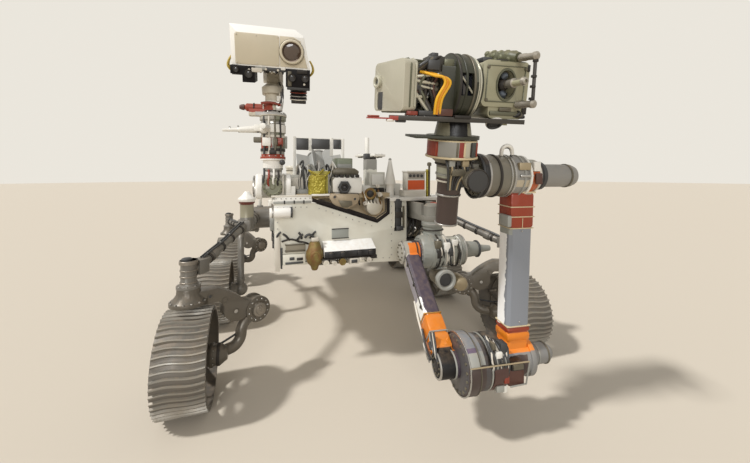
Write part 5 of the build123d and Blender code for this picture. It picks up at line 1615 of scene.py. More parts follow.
    def side_fittings(self) -> Tray:
        """Frames, screws, pipes and boxes on the body's sides and back.

        Returns:
            The pieces, in millimetres.
        """
        parts = Tray()
        for side in (-1, 1):
            y = side * 608
            out = (0, side, 0)
            for x0, x1 in ((-780, -330), (-290, 20), (290, 760)):
                for z in (798, 1042):
                    parts.append(self.screws((x0 + 10, y, z), (x1 - 10, y, z), 6, out))
            for n, z in enumerate((742, 760, 778)):
                parts.add((BLACK, STEEL, BLACK)[n], Shop.tube(
                    [(-830, side * 606, z), (-400, side * 612, z + 4), (40, side * 610, z - 2),
                     (250, side * 618, z + 6), (780, side * 608, z)], 7, 2))
            for x in (-700, -420, -140, 340, 620):
                low, high = sorted((side * 600, side * 626))
                parts.blocks(3, ((x - 9, low, 730), (x + 9, high, 790), DARK))
            for x0, x1, z0, z1, finish in (
                (-740, -560, 860, 980, WHITE), (330, 470, 830, 930, HAZE), (-250, -60, 850, 960, HAZE)
            ):
                low, high = sorted((side * 606, side * 640))
                parts.blocks(8, ((x0, low, z0), (x1, high, z1), finish))
                parts.append(self.screws(
                    (x0 + 14, side * 640, z1 - 12), (x1 - 14, side * 640, z1 - 12), 4, out))
        for y in (-520, 520):
            parts.blocks(6, ((-872, y - 60, 820), (-848, y + 60, 1000), HAZE))
            parts.append(Shop.bolts((-872, y, 910), (-1, 0, 0), 44, 8, 5))
        return parts


@dataclass
class Mast:
    """The mast's foot, tube and booms, the yoke that turns on it and the camera head."""

    tube: float = 75.0
    face: float = 279.0
    eye: Point = (304.0, 120.0, 171.0)

    def build(self) -> None:
        """Finishes the mast's nodes and adds its fittings."""
        for node, edge, slot, finish, body in (
            ("mast_base", 3.0, "white_paint", MAST_FOOT, "chassis"),
            ("mast_tube", 3.0, "white_paint", MAST_PAINT, "chassis"),
            ("wind_booms", 1.5, "white_paint", WHITE, "chassis"),
            ("mast_yoke", 2.0, "beige_paint", YOKE_PAINT, "mast_turn"),
            ("mast_head", 5.0, "white_paint", HEAD_PAINT, "mast_tilt"),
            ("camera_bar", 3.0, "black_paint", BARS, "mast_tilt")
        ):
            Shop.refinish(node, edge, slot, finish, body)
        for name, body, slot, at, parts in (
            ("mast_fittings", "chassis", "white_paint", MAST, self.fittings()),
            ("mast_yoke_fittings", "mast_turn", "beige_paint", MAST, self.yoke_fittings()),
            ("head_window", "mast_tilt", "white_paint", HEAD, self.window()),
            ("head_cameras", "mast_tilt", "black_paint", HEAD, self.cameras())
        ):
            Shop.register(Shop.place(parts, at), name, body, slot)

    def fittings(self) -> Tray:
        """Bands, wraps, boxes and clamps on the foot and the tube.

        Returns:
            The pieces, in millimetres.
        """
        parts = Tray([
            Shop.band((0, 0, 1366), (0, 0, 1390), self.tube + 2, 12, 4, RED),
            Shop.bolts((0, 0, 1381), (0, 0, 1), self.tube - 2, 12, 6, STEEL),
            Shop.band((0, 0, 1424), (0, 0, 1444), self.tube, 18, 5, DARK),
            Shop.band((0, 0, 1512), (0, 0, 1532), self.tube, 16, 5, PALE),
            Shop.band((0, 0, 1600), (0, 0, 1618), self.tube, 14, 4, STEEL)])
        parts.blocks(
            4, ((70, -62, 1446), (92, -10, 1500), WHITE), ((60, 34, 1456), (84, 66, 1500), RED),
            ((72, 6, 1450), (86, 32, 1496), CAST), ((-24, -122, 1474), (24, -56, 1508), CAST),
            ((40, -112, 1540), (78, -74, 1584), WHITE), ((74, -20, 1394), (90, 24, 1420), DARK),
            ((-60, 70, 1440), (0, 92, 1520), HAZE))
        parts.add(WHITE, Shop.turned(
            (64, -44, 1552), (104, -58, 1552), [(0, 18), (10, 25), (24, 27), (36, 22), (44, 10)], 24))
        parts.append(Shop.band((40, -92, 1560), (40, -102, 1560), 22, 12, 3, BLACK))
        parts.add(BLACK, Shop.turned(
            (60, 58, 1340), (96, 66, 1342), [(0, 15), (16, 19), (28, 16), (34, 8)], 20))
        for start, end, radius, finish in (
            ((0, -118, 1184), (0, -110, 1184), 70, STEEL), ((0, 110, 1184), (0, 124, 1184), 74, HAZE),
            ((0, -88, 1184), (0, -70, 1184), 84, PALE), ((0, 66, 1184), (0, 84, 1184), 84, PALE)
        ):
            parts.append(Shop.band(start, end, radius - 4, 10, 5, finish))
        parts.add(OLIVE, Shop.turned(
            (30, 4, 1184), (106, 0, 1182),
            [(20, 60), (44, 66), (56, 62), (60, 48), (52, 44), (50, 20), (56, 12)], 36))
        parts.append(Shop.bolts((88, 2, 1183), (1, -0.05, -0.03), 55, 12, 4, DARK))
        for n, (y, z) in enumerate(((-52, 1300), (-24, 1292), (8, 1296), (36, 1288))):
            parts.add((BLACK, RED, WHITE, DARK)[n], Shop.tube(
                [(70, y, z), (92, y + 6, z - 40), (84, y - 10, z - 90), (60, y + 14, z - 130)], 7))
        for n in range(4):
            angle = -0.7 + 0.45 * n
            x, y = (self.tube + 8) * cos(angle), (self.tube + 8) * sin(angle)
            parts.add((BLACK, PALE, CAST, DARK)[n], Shop.tube(
                [(x, y, 1394), (x + 2, y + 3, 1460), (x, y, 1530), (x + 3, y - 3, 1610), (x, y, 1640)], 6))
        for y in (-215, -268):
            parts.append(Shop.band((0, y, 1560), (0, y - 12, 1558), 14 if y < -220 else 21, 9, 3, STEEL))
        return parts

    def yoke_fittings(self) -> Tray:
        """Bolts, bands and leads of the head's turning drive.

        Returns:
            The pieces, in millimetres.
        """
        parts = Tray([
            Shop.bolts((0, 0, 1669), (0, 0, 1), 76, 16, 5, STEEL),
            Shop.band((0, 0, 1680), (0, 0, 1690), 56, 8, 4, DARK),
            Shop.band((0, 0, 1742), (0, 0, 1752), 50, 8, 4, WHITE),
            Shop.band((0, -120, 1704), (0, -108, 1704), 26, 8, 5, DARK),
            Shop.band((0, -60, 1704), (0, -48, 1704), 26, 8, 4, PALE)])
        parts.blocks(4, ((24, 20, 1680), (60, 62, 1742), STEEL), ((44, 26, 1740), (64, 54, 1776), WHITE))
        parts.add(CLEVIS, Shop.turned((0, -180, 1704), (0, -212, 1704), [(0, 20), (16, 18), (30, 12)], 20))
        for n, (y0, y1) in enumerate(((30, 44), (38, 58), (48, 36), (22, 52), (56, 62))):
            parts.add((BLACK, BLACK, PALE, BLACK, STEEL)[n], Shop.tube(
                [(40 + 3 * n, y0, 1690), (58 + 3 * n, y1 + 6, 1740), (50, y1 + 10 * sin(n), 1796),
                 (24, y0 + 14, 1846), (-8, 40 + 3 * n, 1880)], 6))
        parts.add(RED, Shop.tube([(60, -70, 1724), (84, -10, 1736), (60, 50, 1716)], 8))
        return parts

    def window(self) -> Tray:
        """The raised face panel and the round window with its rings.

        Returns:
            The pieces, in millimetres.
        """
        x, y, z = self.eye
        corners = [(-200, 82), (-200, 246), (-190, 256), (40, 256), (48, 248), (48, 82)]
        parts = Tray()
        parts.add(HEAD_FACE, Shop.cut(corners, 7, 3, self.face - 1))
        parts.add(HEAD_FACE, Shop.cut(
            [(52, 82), (52, 256), (128, 256), (172, 236), (216, 82)], 4, 2, self.face - 1))
        parts.add(HEAD_FACE, Shop.ring(
            (x - 22, y, z), (x, y, z), [(0, 56), (24, 56), (27, 59), (26, 66), (20, 70), (4, 72), (0, 72)],
            56))
        parts += [
            Shop.band((x - 18, y, z), (x - 12, y, z), 72, 4, 2, CAST, 48),
            Shop.band((x - 6, y, z), (x - 2, y, z), 68, 3, 2, DARK, 48)]
        parts.add(BRONZE_RING, Shop.ring(
            (x - 20, y, z), (x, y, z), [(0, 48), (14, 50), (16, 56), (0, 57)], 48))
        parts.add(EYE_GLASS, Shop.turned(
            (x - 24, y, z), (x, y, z), [(0, 55), (8, 55), (13, 44), (16, 24), (17, 6)], 48))
        for u, v in ((-190, 92), (-190, 244), (38, 92), (38, 246), (-80, 92), (-80, 246)):
            parts.append(Shop.screw((self.face + 6, u, v), (1, 0, 0), 4, PALE))
        for u in (-60, 70, 200):
            parts.blocks(4, ((self.face - 12, u - 14, 62), (self.face + 6, u + 14, 82), WHITE))
        return parts

    def cameras(self) -> Tray:
        """Lenses, ribbed drum bands, cable loops and clutter under the head.

        Returns:
            The pieces, in millimetres.
        """
        parts = Tray()
        for y, z, radius in ((-198, 50, 15), (-128, 28, 21), (122, 22, 21), (200, 22, 21)):
            parts.add(DARK, Shop.ring(
                (297, y, z), (310, y, z),
                [(0, radius * 0.6), (4, radius * 0.66), (6, radius), (0, radius + 2)], 28))
            parts.add(GLASS, Shop.turned(
                (297, y, z), (310, y, z), [(0, radius * 0.62), (3, radius * 0.62), (5, radius * 0.3)], 24))
        for y, z in ((196, -14), (196, 8), (108, -12), (-126, 52), (-30, 62), (40, 60)):
            parts.add(PALE, Shop.turned((284, y, z), (294, y, z), [(0, 7), (6, 7), (8, 4)], 14))
        parts.blocks(
            4, ((287, -112, 40), (296, -50, 66), PALE), ((126, -80, 60), (160, -30, 72), BLACK),
            ((126, 20, 60), (168, 80, 72), DARK), ((190, -60, 50), (280, 84, 72), BLACK),
            ((270, -90, 56), (290, -30, 74), HAZE), ((286, 150, 48), (294, 214, 70), DARK),
            ((284, 96, -30), (292, 120, 60), CAST), ((238, -224, 18), (282, -146, 40), BLACK),
            ((206, 92, -52), (284, 232, -32), BLACK), ((120, 118, -142), (218, 212, -122), DARK),
            ((236, -106, -14), (282, -90, 60), BLACK))
        for low, finish in ((-50, STEEL), (-73, RED), (-96, STEEL), (-118, PALE)):
            parts.append(Shop.band((170, 165, low), (170, 165, low + 8), 50, 7, 6, finish, 40))
        for side, far in ((-1, -236), (1, 234)):
            for n in range(2):
                y = far + side * (4 + 5 * n)
                parts.add(OLD_GOLD, Shop.tube(
                    [(150 + 20 * n, far, 128), (160 + 20 * n, y + side * 18, 96 - 6 * n),
                     (172 + 16 * n, y + side * 12, 44), (160, far - side * 20, 20)], 5))
        for n in range(7):
            y = -70 + 24 * n
            parts.add((BLACK, BLACK, DARK, PALE, BLACK, HAZE, BLACK)[n], Shop.tube(
                [(196, y, 66), (202 + 5 * n, y + 14 * sin(2 * n), 44), (232, y * 0.9, 38),
                 (264, y * 0.8 + 6, 58)], 6))
        return parts


@dataclass
class Arm:
    """The jointed arm: shoulder, tubes with their wraps, elbow, forearm and wrist."""

    lift: Point = (40.0, 0.0, 765.0)
    elbow: Point = (605.0, 0.0, 358.0)
    wrist: Point = (650.0, 0.0, 1258.0)

    def build(self) -> None:
        """Finishes the arm's nodes and adds its fittings."""
        for node, edge, body, finish in (
            ("arm_bracket", 2.5, "chassis", ARM_MOUNT), ("arm_shoulder", 2.5, "arm_turn", SHOULDER_PAINT),
            ("upper_arm", 3.0, "arm_lift", UPPER_PAINT_AND_HIGHLIGHT), ("elbow_drive", 3.0, "arm_fold", ELBOW_PAINT),
            ("forearm", 3.0, "arm_fold", FORE_PAINT), ("wrist_drive", 2.5, "arm_wrist", WRIST_PAINT)
        ):
            Shop.refinish(node, edge, "grey_metal", finish, body)
        for name, body, at, parts in (
            ("shoulder_fittings", "arm_turn", ARM, self.shoulder_fittings()),
            ("upper_arm_wraps", "arm_lift", UPPER, self.upper_wraps()),
            ("upper_arm_drums", "arm_lift", ARM, self.upper_drums()),
            ("elbow_fittings", "arm_fold", ARM, self.elbow_fittings()),
            ("forearm_wraps", "arm_fold", FORE, self.fore_wraps()),
            ("wrist_motor_fittings", "arm_fold", ARM, self.motor_fittings()),
            ("wrist_fittings", "arm_wrist", WRIST, self.wrist_fittings())
        ):
            Shop.register(Shop.place(parts, at), name, body, "grey_metal")

    def drum_band(self, joint: Point, side: float, radius: float, long: float, thick: float,
                  finish: Finish) -> Piece:
        """A band around one of the drums across the arm, from a side on.

        Args:
            joint: The joint whose drum carries it.
            side: Where it starts across the arm.
            radius: The drum's radius.
            long: Its length across the arm.
            thick: How far it stands proud.
            finish: Its finish.

        Returns:
            The piece, in millimetres.
        """
        start = (joint[0], side, joint[2])
        return Shop.band(start, (joint[0], side + long, joint[2]), radius, long, thick, finish, 48)

    def shoulder_fittings(self) -> Tray:
        """Bands, bolts, boxes, the small motor's black mouth and leads of the shoulder.

        Returns:
            The pieces, in millimetres.
        """
        joint = self.lift
        parts = Tray([
            self.drum_band(joint, -40, 105, 12, 5, STEEL), self.drum_band(joint, -6, 111, 10, 4, DARK),
            self.drum_band(joint, 42, 105, 8, 4, PALE), self.drum_band(joint, 152, 88, 16, 5, WHITE),
            self.drum_band(joint, 178, 95, 10, 4, STEEL), self.drum_band(joint, 296, 50, 12, 6, BLACK),
            Shop.bolts((joint[0], -112, joint[2]), (0, -1, 0), 88, 16, 6, STEEL),
            Shop.bolts((joint[0], 186, joint[2]), (0, 1, 0), 76, 14, 6, STEEL)])
        parts.add(HAZE, Shop.ring(
            (120, 35, 600), (122, 35, 600), [(0, 40), (22, 44), (30, 48), (30, 60), (20, 66), (0, 66)], 36))
        parts.add(BLACK, Shop.turned((121, 35, 600), (126, 35, 600), [(0, 46), (6, 46), (8, 30)], 36))
        parts.add(BRONZE_PLATE, Shop.turned(
            (20, 148, 566), (132, 150, 560), [(0, 38), (8, 46), (92, 46), (104, 40), (112, 24)], 32))
        parts.blocks(
            5, ((120, -40, 800), (148, 4, 846), CAST), ((126, 20, 776), (150, 62, 836), WHITE),
            ((128, 66, 750), (146, 84, 800), BLACK), ((130, -30, 740), (148, 10, 790), DARK),
            ((118, 80, 812), (138, 120, 850), WHITE), ((0, 110, 660), (60, 150, 690), DARK),
            ((20, -20, 664), (80, 70, 682), CAST), ((104, 120, 724), (132, 150, 770), BLACK))
        for n in range(9):
            y = -30 + 20 * n
            parts.add((BLACK, PALE, DARK, HAZE, BLACK)[n % 5], Shop.tube(
                [(110, y, 850), (146 + 5 * (n % 3), y + 12 * sin(2 * n), 806), (146, y + 16 * sin(n), 760),
                 (118, y + 10, 690)], 5 + n % 2))
        for z, finish in ((940, STEEL), (900, DARK), (862, PALE)):
            parts.append(Shop.band((0, 0, z), (0, 0, z + 10), 66, 8, 7, finish, 36))
        return parts

    def upper_wraps(self) -> Tray:
        """Foil sleeves, seams and leads on the upper arm's tube.

        Returns:
            The pieces, in millimetres.
        """
        parts = Tray()
        parts.blocks(
            12, ((462, -50, -53.5), (556, 46.6, 53.5), ORANGE_FOIL),
            ((562, -49, -52.5), (640, 46.4, 52.5), ORANGE_FOIL),
            ((2, -48, -52), (54, 46.6, 52), ORANGE_FOIL))
        parts.blocks(3, ((455, -52, -55), (462, 46.6, 55), GOLD), ((553, -52, -55), (560, 46.6, 55), HAZE))
        for line, radius, finish in (
            ([(70, -49, 40), (200, -50, 41), (330, -49, 40), (430, -50, 40)], 3, DARK),
            ([(330, -49, -34), (420, -56, -40), (500, -58, -38), (600, -60, -30), (650, -62, -12)], 6,
             PALE), ([(500, -56, -22), (560, -64, -26), (620, -66, -16), (668, -70, 4)], 6, BLACK),
            ([(540, -54, -40), (590, -62, -46), (640, -68, -30), (672, -74, -8)], 5, STEEL)
        ):
            parts.add(finish, Shop.tube(line, radius))
        for x in (120, 260, 400):
            parts.blocks(2, ((x, -53, 20), (x + 12, -46, 44), DARK))
        parts.blocks(
            4, ((560, -66, -56), (600, -48, -30), WHITE), ((618, -70, -44), (648, -50, -16), CAST),
            ((600, -68, 24), (636, -50, 46), BLACK))
        return parts

    def upper_drums(self) -> Tray:
        """Caps and bands of the upper arm's two end drums.

        Returns:
            The pieces, in millimetres.
        """
        x, _, z = self.elbow
        parts = Tray([
            self.drum_band(self.elbow, -222, 55, 8, 7, STEEL),
            self.drum_band(self.elbow, -148, 61, 8, 4, HAZE),
            self.drum_band(self.lift, -226, 68, 10, 5, STEEL),
            self.drum_band(self.lift, -140, 70, 8, 4, DARK),
            Shop.bolts((x, -224, z), (0, -1, 0), 40, 10, 5, CAST)])
        parts.add(DARK, Shop.turned((x, -222, z), (x, -230, z), [(0, 26), (6, 24), (8, 12)], 28))
        parts.append(Shop.bolts((self.lift[0], -234, self.lift[2]), (0, -1, 0), 48, 10, 6, CAST))
        for n in range(5):
            parts.add((HAZE, BLACK, DARK, PALE, BLACK)[n], Shop.tube(
                [(520 + 12 * n, -224, 470 + 8 * n), (560 + 8 * n, -236 + 4 * n, 440),
                 (600 + 6 * n, -232, 415 - 6 * n), (628, -222, 386)], 5))
        return parts

    def elbow_fittings(self) -> Tray:
        """Plates, frame bars, bolts and the clutter of leads round the elbow's drum.

        Returns:
            The pieces, in millimetres.
        """
        joint = self.elbow
        x, _, z = joint
        parts = Tray([
            self.drum_band(joint, -118, 140, 5, 3, STEEL), self.drum_band(joint, -66, 138, 4, 3, CAST),
            self.drum_band(joint, -2, 122, 8, 5, HAZE),
            Shop.bolts((x, -124, z), (0, -1, 0), 120, 20, 7, CAST)])
        for start, end, size, finish in (
            ((x + 134, -120, z + 46), (x + 134, 176, z + 46), 3.5, BRONZE_PLATE),
            ((x + 126, 84, z - 64), (x + 112, 176, z - 70), 3.5, HAZE),
            ((x + 134, 176, z + 46), (x + 112, 176, z - 70), 3.5, HAZE),
            ((x + 136, -116, z + 46), (x + 112, -116, z - 84), 3.5, HAZE)
        ):
            parts.add(finish, Shop.tube([start, end], size, 2, True))
        parts.blocks(8, ((x + 30, 84, z - 74), (x + 112, 168, z + 34), CLEVIS))
        parts.blocks(6, ((x + 60, 92, z + 2), (x + 124, 160, z + 42), DARK))
        parts.blocks(4, ((x + 100, 98, z + 10), (x + 130, 152, z + 34), CAST))
        for n in range(15):
            y = -12 + 6.2 * n
            swing = 26 * sin(2.4 * n)
            parts.add((BLACK, PALE, BLACK, DARK, HAZE, BLACK)[n % 6], Shop.tube(
                [(x + 62, y, z + 150 - 4 * n), (x + 104, y + swing * 0.5, z + 112 + 10 * sin(n)),
                 (x + 126, y - swing * 0.4, z + 66), (x + 122, y + 12, z + 24),
                 (x + 88, y + 8, z - 30 - 14 * (n % 3))], 5 + n % 3))
        parts.blocks(
            4, ((x + 96, 14, z + 70), (x + 128, 44, z + 100), WHITE),
            ((x + 70, 40, z + 86), (x + 120, 74, z + 132), BLACK),
            ((x + 90, -4, z + 110), (x + 124, 12, z + 140), CAST),
            ((x + 96, 20, z - 90), (x + 118, 60, z - 60), HAZE),
            ((x + 100, 56, z - 50), (x + 124, 82, z - 16), RED),
            ((x + 80, 60, z - 104), (x + 104, 84, z - 70), WHITE))
        for side, radius, long, finish in ((256, 50, 10, STEEL), (300, 50, 6, HAZE), (352, 50, 8, CAST)):
            parts.append(self.drum_band(joint, side, radius, long, 3, finish))
        parts.append(Shop.bolts((x, 372, z), (0, 1, 0), 26, 8, 4, CAST))
        return parts

    def fore_wraps(self) -> Tray:
        """Foil sleeves, straps, clips and leads on the forearm's tube.

        Returns:
            The pieces, in millimetres.
        """
        parts = Tray()
        parts.blocks(12, ((-53, -63, 104), (53.5, 63, 146), ORANGE_FOIL))
        parts.blocks(10, ((-52, -62, 148), (52.5, 62, 172), RED_WRAP))
        parts.blocks(13, ((-52.5, -62.5, 654), (52.5, 62.5, 822), RED_WRAP))
        for h, thick, grow in ((174, 6, 3), (651, 5, 3), (706, 5, 5), (753, 5, 5), (821, 8, 6)):
            parts.blocks(2, ((-50 - grow, -60 - grow, h), (50 + grow, 60 + grow, h + thick), STRAP))
        parts.blocks(5, ((-20, -80, 662), (56, -58, 716), HAZE))
        parts.blocks(1, ((50, -1, 656), (54.5, 2, 702), STRAP))
        for h in (200, 640):
            parts.append(Shop.screw((50, 0, h), (1, 0, 0), 4, STEEL))
        for y in (-12, 30):
            parts.add(BLACK, Shop.tube(
                [(-54, y, 150), (-58, y + 8, 320), (-57, y, 500), (-56, y - 6, 660), (-60, y, 820)], 7))
        for h in (230, 330, 430, 530, 630):
            parts.blocks(3, ((-66, -26, h), (-48, 46, h + 14), CAST))
        return parts

    def motor_fittings(self) -> Tray:
        """Bands, cone, foil patch and loop of the wrist's drum on the forearm.

        Returns:
            The pieces, in millimetres.
        """
        joint = self.wrist
        x, _, z = joint
        parts = Tray([
            self.drum_band(joint, 102, 98, 10, 4, STEEL), self.drum_band(joint, 150, 98, 8, 4, HAZE),
            self.drum_band(joint, 186, 92, 12, 6, WHITE), self.drum_band(joint, 250, 72, 12, 7, PALE),
            self.drum_band(joint, 284, 60, 22, 9, BLACK), self.drum_band(joint, 440, 56, 10, 3, CAST),
            Shop.bolts((x, 196, z), (0, 1, 0), 86, 16, 5, STEEL),
            Shop.bolts((x, 476, z), (0, 1, 0), 34, 8, 5, CAST)])
        loop = [
            (x + 40, 64, z + 98), (x + 60, 50, z + 124), (x + 70, 72, z + 142), (x + 66, 104, z + 130),
            (x + 52, 112, z + 100)]
        parts.add(WHITE, Shop.tube(loop, 9))
        parts.add(BLACK, Shop.tube([(p[0] - 14, p[1] + 6, p[2] - 6) for p in loop], 6))
        parts.blocks(
            4, ((x + 84, 116, z + 26), (x + 104, 176, z + 60), BRONZE_PLATE),
            ((x + 92, 120, z - 8), (x + 106, 178, z + 6), STEEL),
            ((x + 70, 200, z + 20), (x + 92, 236, z + 66), WHITE),
            ((x + 88, 206, z - 40), (x + 98, 240, z + 12), CLEVIS))
        return parts

    def wrist_fittings(self) -> Tray:
        """End disc, rims, column bands, black mouth and leads of the wrist.

        Returns:
            The pieces, in millimetres.
        """
        parts = Tray([
            Shop.band((0, -56, 0), (0, -40, 0), 102, 12, 6, BLACK, 48),
            Shop.band((0, -22, 0), (0, -10, 0), 98, 10, 5, STEEL, 48),
            Shop.band((0, 30, 0), (0, 44, 0), 98, 12, 5, DARK, 48),
            Shop.band((0, 84, 0), (0, 92, 0), 98, 7, 4, STEEL, 48),
            Shop.bolts((0, -56, 0), (0, -1, 0), 84, 14, 6, CAST)])
        parts.add(DARK, Shop.ring((126, -104, 0), (130, -104, 0), [(0, 44), (6, 46), (8, 49), (0, 52)], 40))
        parts.add(BLACK, Shop.turned((127, -104, 0), (130, -104, 0), [(0, 47), (4, 47), (6, 20)], 36))
        for z, radius, thick, finish in (
            (-226, 48, 6, STEEL), (-86, 50, 8, STEEL), (-20, 54, 7, PALE), (10, 60, 6, HAZE),
            (58, 64, 8, DARK), (92, 112, 6, STRAP), (164, 106, 6, STRAP)
        ):
            parts.append(Shop.band((0, -178, z), (0, -178, z + 10), radius, 9, thick, finish, 48))
        for y, finish in ((-276, RED_WRAP), (-202, CAST), (-170, STRAP), (-136, DARK), (-96, RED_WRAP)):
            depth = sqrt(max(112.0 ** 2 - (y + 178.0) ** 2, 100.0))
            parts.blocks(2, ((depth - 14, y - 4, 100), (depth + 5, y + 4, 160), finish))
        parts.blocks(
            4, ((60, -210, 14), (92, -146, 46), CAST), ((56, -224, 54), (90, -196, 84), HAZE),
            ((62, -166, 56), (96, -134, 84), BRONZE_PLATE), ((40, -150, -40), (70, -128, 40), BLACK),
            ((64, -190, 60), (90, -170, 84), BLACK))
        for n in range(8):
            y = -232 + 16 * n
            parts.add((BLACK, BRONZE_PLATE, BLACK, DARK)[n % 4], Shop.tube(
                [(66, y, 88), (92, y + 8 * sin(2 * n), 56), (80, y + 10, 20),
                 (60, -178 + (y + 178) * 0.6, -12), (52, -178 + (y + 178) * 0.5, -56)], 5))
        return parts


@dataclass
class Turret:
    """The tools at the arm's end: drum and frame, the coring drill and the sensor head."""

    face: float = 95.0

    def build(self) -> None:
        """Finishes the turret's nodes and adds its fittings."""
        for node, edge, finish in (
            ("turret_core", 3.0, TURRET_PAINT), ("coring_drill", 4.0, DRILL_PAINT),
            ("sensor_head", 5.0, SENSOR_PAINT), ("turret_frame", 1.5, FRAME_PAINT)
        ):
            Shop.refinish(node, edge, "olive_metal", finish, "arm_turret")
        for name, at, parts in (
            ("turret_fittings", WRIST, self.fittings()), ("turret_cables", WRIST, self.cables()),
            ("drill_fittings", WRIST, self.drill_fittings()),
            ("sensor_fittings", SENSOR, self.sensor_fittings())
        ):
            Shop.register(Shop.place(parts, at), name, "arm_turret", "olive_metal")

    def fittings(self) -> Tray:
        """Rings, window, plates and struts of the turret's drum and frame.

        Returns:
            The pieces, in millimetres.
        """
        parts = Tray()
        for y, radius, finish in (
            (-222, 140, DARK), (-196, 140, TURRET_PAINT), (-160, 140, CAST), (-142, 134, PALE_RING),
            (-130, 130, PALE_RING)
        ):
            parts.append(Shop.band((0, y, 395), (0, y + 8, 395), radius, 8, 4, finish, 56))
        parts.append(Shop.bolts((0, -216, 395), (0, -1, 0), 124, 20, 6, CAST))
        parts.blocks(3, ((100, -218, 352), (112, -158, 448), GLASS))
        for low, high in (
            ((108, -222, 346), (124, -154, 353)), ((108, -222, 447), (124, -154, 454)),
            ((108, -222, 346), (124, -215, 454)), ((108, -161, 346), (124, -154, 454))
        ):
            parts.blocks(2, (low, high, OLIVE_TRIM))
        parts.add(PALE_RING, Shop.tube([(118, -216, 438), (122, -160, 366)], 4, 2, True))
        for start, end, size in (
            ((66, -300, 400), (66, -410, 412), 8), ((66, -300, 378), (66, -410, 396), 6),
            ((72, -312, 262), (66, -424, 404), 8), ((80, -290, 440), (66, -404, 424), 7)
        ):
            parts.add(PALE_RING, Shop.tube([start, end], size, 3, True))
            parts.append(Shop.screw(start, (1, 0, 0), 9, CAST))
        parts.blocks(
            4, ((56, -350, 452), (96, -300, 492), BLACK), ((30, -330, 500), (74, -300, 524), BLACK),
            ((60, -380, 268), (98, -300, 290), BLACK), ((70, -300, 270), (104, -232, 300), CLEVIS),
            ((70, -430, 268), (100, -384, 286), RED), ((84, -226, 262), (112, -150, 276), DARK),
            ((60, -588, 256), (88, -540, 264), RED), ((66, -510, 240), (96, -480, 250), WHITE),
            ((60, -470, 238), (94, -430, 250), BLACK), ((72, -280, 470), (92, -236, 500), OLIVE_TRIM),
            ((-90, -360, 300), (-60, -300, 440), OLIVE_TRIM))
        parts.add(BLACK, Shop.turned(
            (58, -16, 262), (82, -18, 226), [(0, 30), (26, 34), (30, 31), (31, 24), (24, 20)], 32))
        parts.append(Shop.band((66, -17, 250), (82, -18, 226), 33, 9, 4, WHITE, 36))
        return parts

    def cables(self) -> Tray:
        """The yellow leads and the dark ones between the sensor and the drum.

        Returns:
            The pieces, in millimetres.
        """
        parts = Tray()
        for n in range(3):
            shift = 11 * n + 20
            parts.add(YELLOW_WIRE if n != 1 else YELLOW_SHADE, Shop.tube(
                [(66, -392 + shift, 446), (90, -366 + shift, 438), (110, -340 + shift, 426),
                 (116, -312 + shift, 428 - 4 * n), (118, -298 + shift, 402), (112, -318 + shift, 366),
                 (106, -334 + shift, 330), (98, -332 + shift, 276)], 6))
        for n in range(12):
            y = -410 + 13 * n
            swing = 24 * sin(1.9 * n)
            parts.add((BLACK, DARK, CLEVIS, BLACK, OLIVE_TRIM, DARK)[n % 6], Shop.tube(
                [(20, y, 270), (70 + swing * 0.5, y + swing, 320), (60, y - swing, 390),
                 (74 + swing * 0.4, y + 12, 440), (30, y + 20, 490)], 6 + n % 3))
        for n in range(4):
            parts.add((BLACK, CAST, BLACK, DARK)[n], Shop.tube(
                [(60, -400 + 10 * n, 450), (90, -360 + 12 * n, 480 + 6 * n), (70, -320 + 14 * n, 512),
                 (20, -270, 500)], 7))
        return parts

    def drill_fittings(self) -> Tray:
        """The mouth's rim, bit, prong tips, knobbly drum and bolts of the drill.

        Returns:
            The pieces, in millimetres.
        """
        x = self.face
        parts = Tray()
        rim = Shop.ring((x - 4, 6, 412), (x + 8, 6, 412), [(0, 41), (8, 42), (8, 48), (0, 50)], 48)
        rim.scale = (1.0, 1.0, 1.42)
        bpy.ops.object.transform_apply(location=False, rotation=False, scale=True)
        rim.data.transform(Matrix.Translation((0, 0, -0.42 * 412)))
        parts.add(OLIVE_TRIM, rim)
        for z, radius, finish in ((412, 24, DARK), (372, 18, BLUE_GREY), (452, 17, BLUE_GREY)):
            parts.add(finish, Shop.turned(
                (30, 6, z), (x - 2, 8, z), [(0, radius), (46, radius), (54, radius - 6), (60, 4)], 28))
        parts.add(BIT, Shop.turned(
            (60, 12, 414), (206, 20, 419),
            [(0, 17), (60, 17), (64, 20), (76, 20), (80, 15), (128, 15), (134, 18), (146, 14), (148, 7),
             (140, 6)], 28))
        for y0, z0, y1, z1 in ((52, 524, 60, 518), (60, 330, 70, 332)):
            parts.add(BIT, Shop.turned(
                (x + 10, y0 + 2, z0), (206, y1, z1),
                [(0, 16), (34, 16), (38, 14), (80, 14), (84, 17), (96, 17), (104, 9)], 24))
        for z in (500, 440, 400, 352):
            parts.append(Shop.band((194, 62, z), (194, 62, z + 6), 7, 10, 4, DARK, 20))
        for n in range(26):
            angle = GOLDEN_ANGLE * n
            along = 10 + 5.6 * n
            base = Vector((-75, 4, 548)) + Vector((173, 50, -24)).normalized() * along
            out = Vector((0.1, cos(angle), sin(angle))) * 25
            parts.add(ROUGH, Shop.turned(
                tuple(base + out * 0.9), tuple(base + out * 1.42), [(0, 13), (6, 13), (11, 7)], 8))
        for y, z in ((-84, 346), (-84, 480), (92, 346), (92, 480)):
            parts.append(Shop.screw((x, y, z), (1, 0, 0), 7, CAST))
        parts.add(OLIVE_TRIM, Shop.tube(
            [(x + 1, -86, 340), (x + 1, -86, 488), (x + 1, 92, 488), (x + 1, 92, 340), (x + 1, -86, 340)],
            3, 2, True))
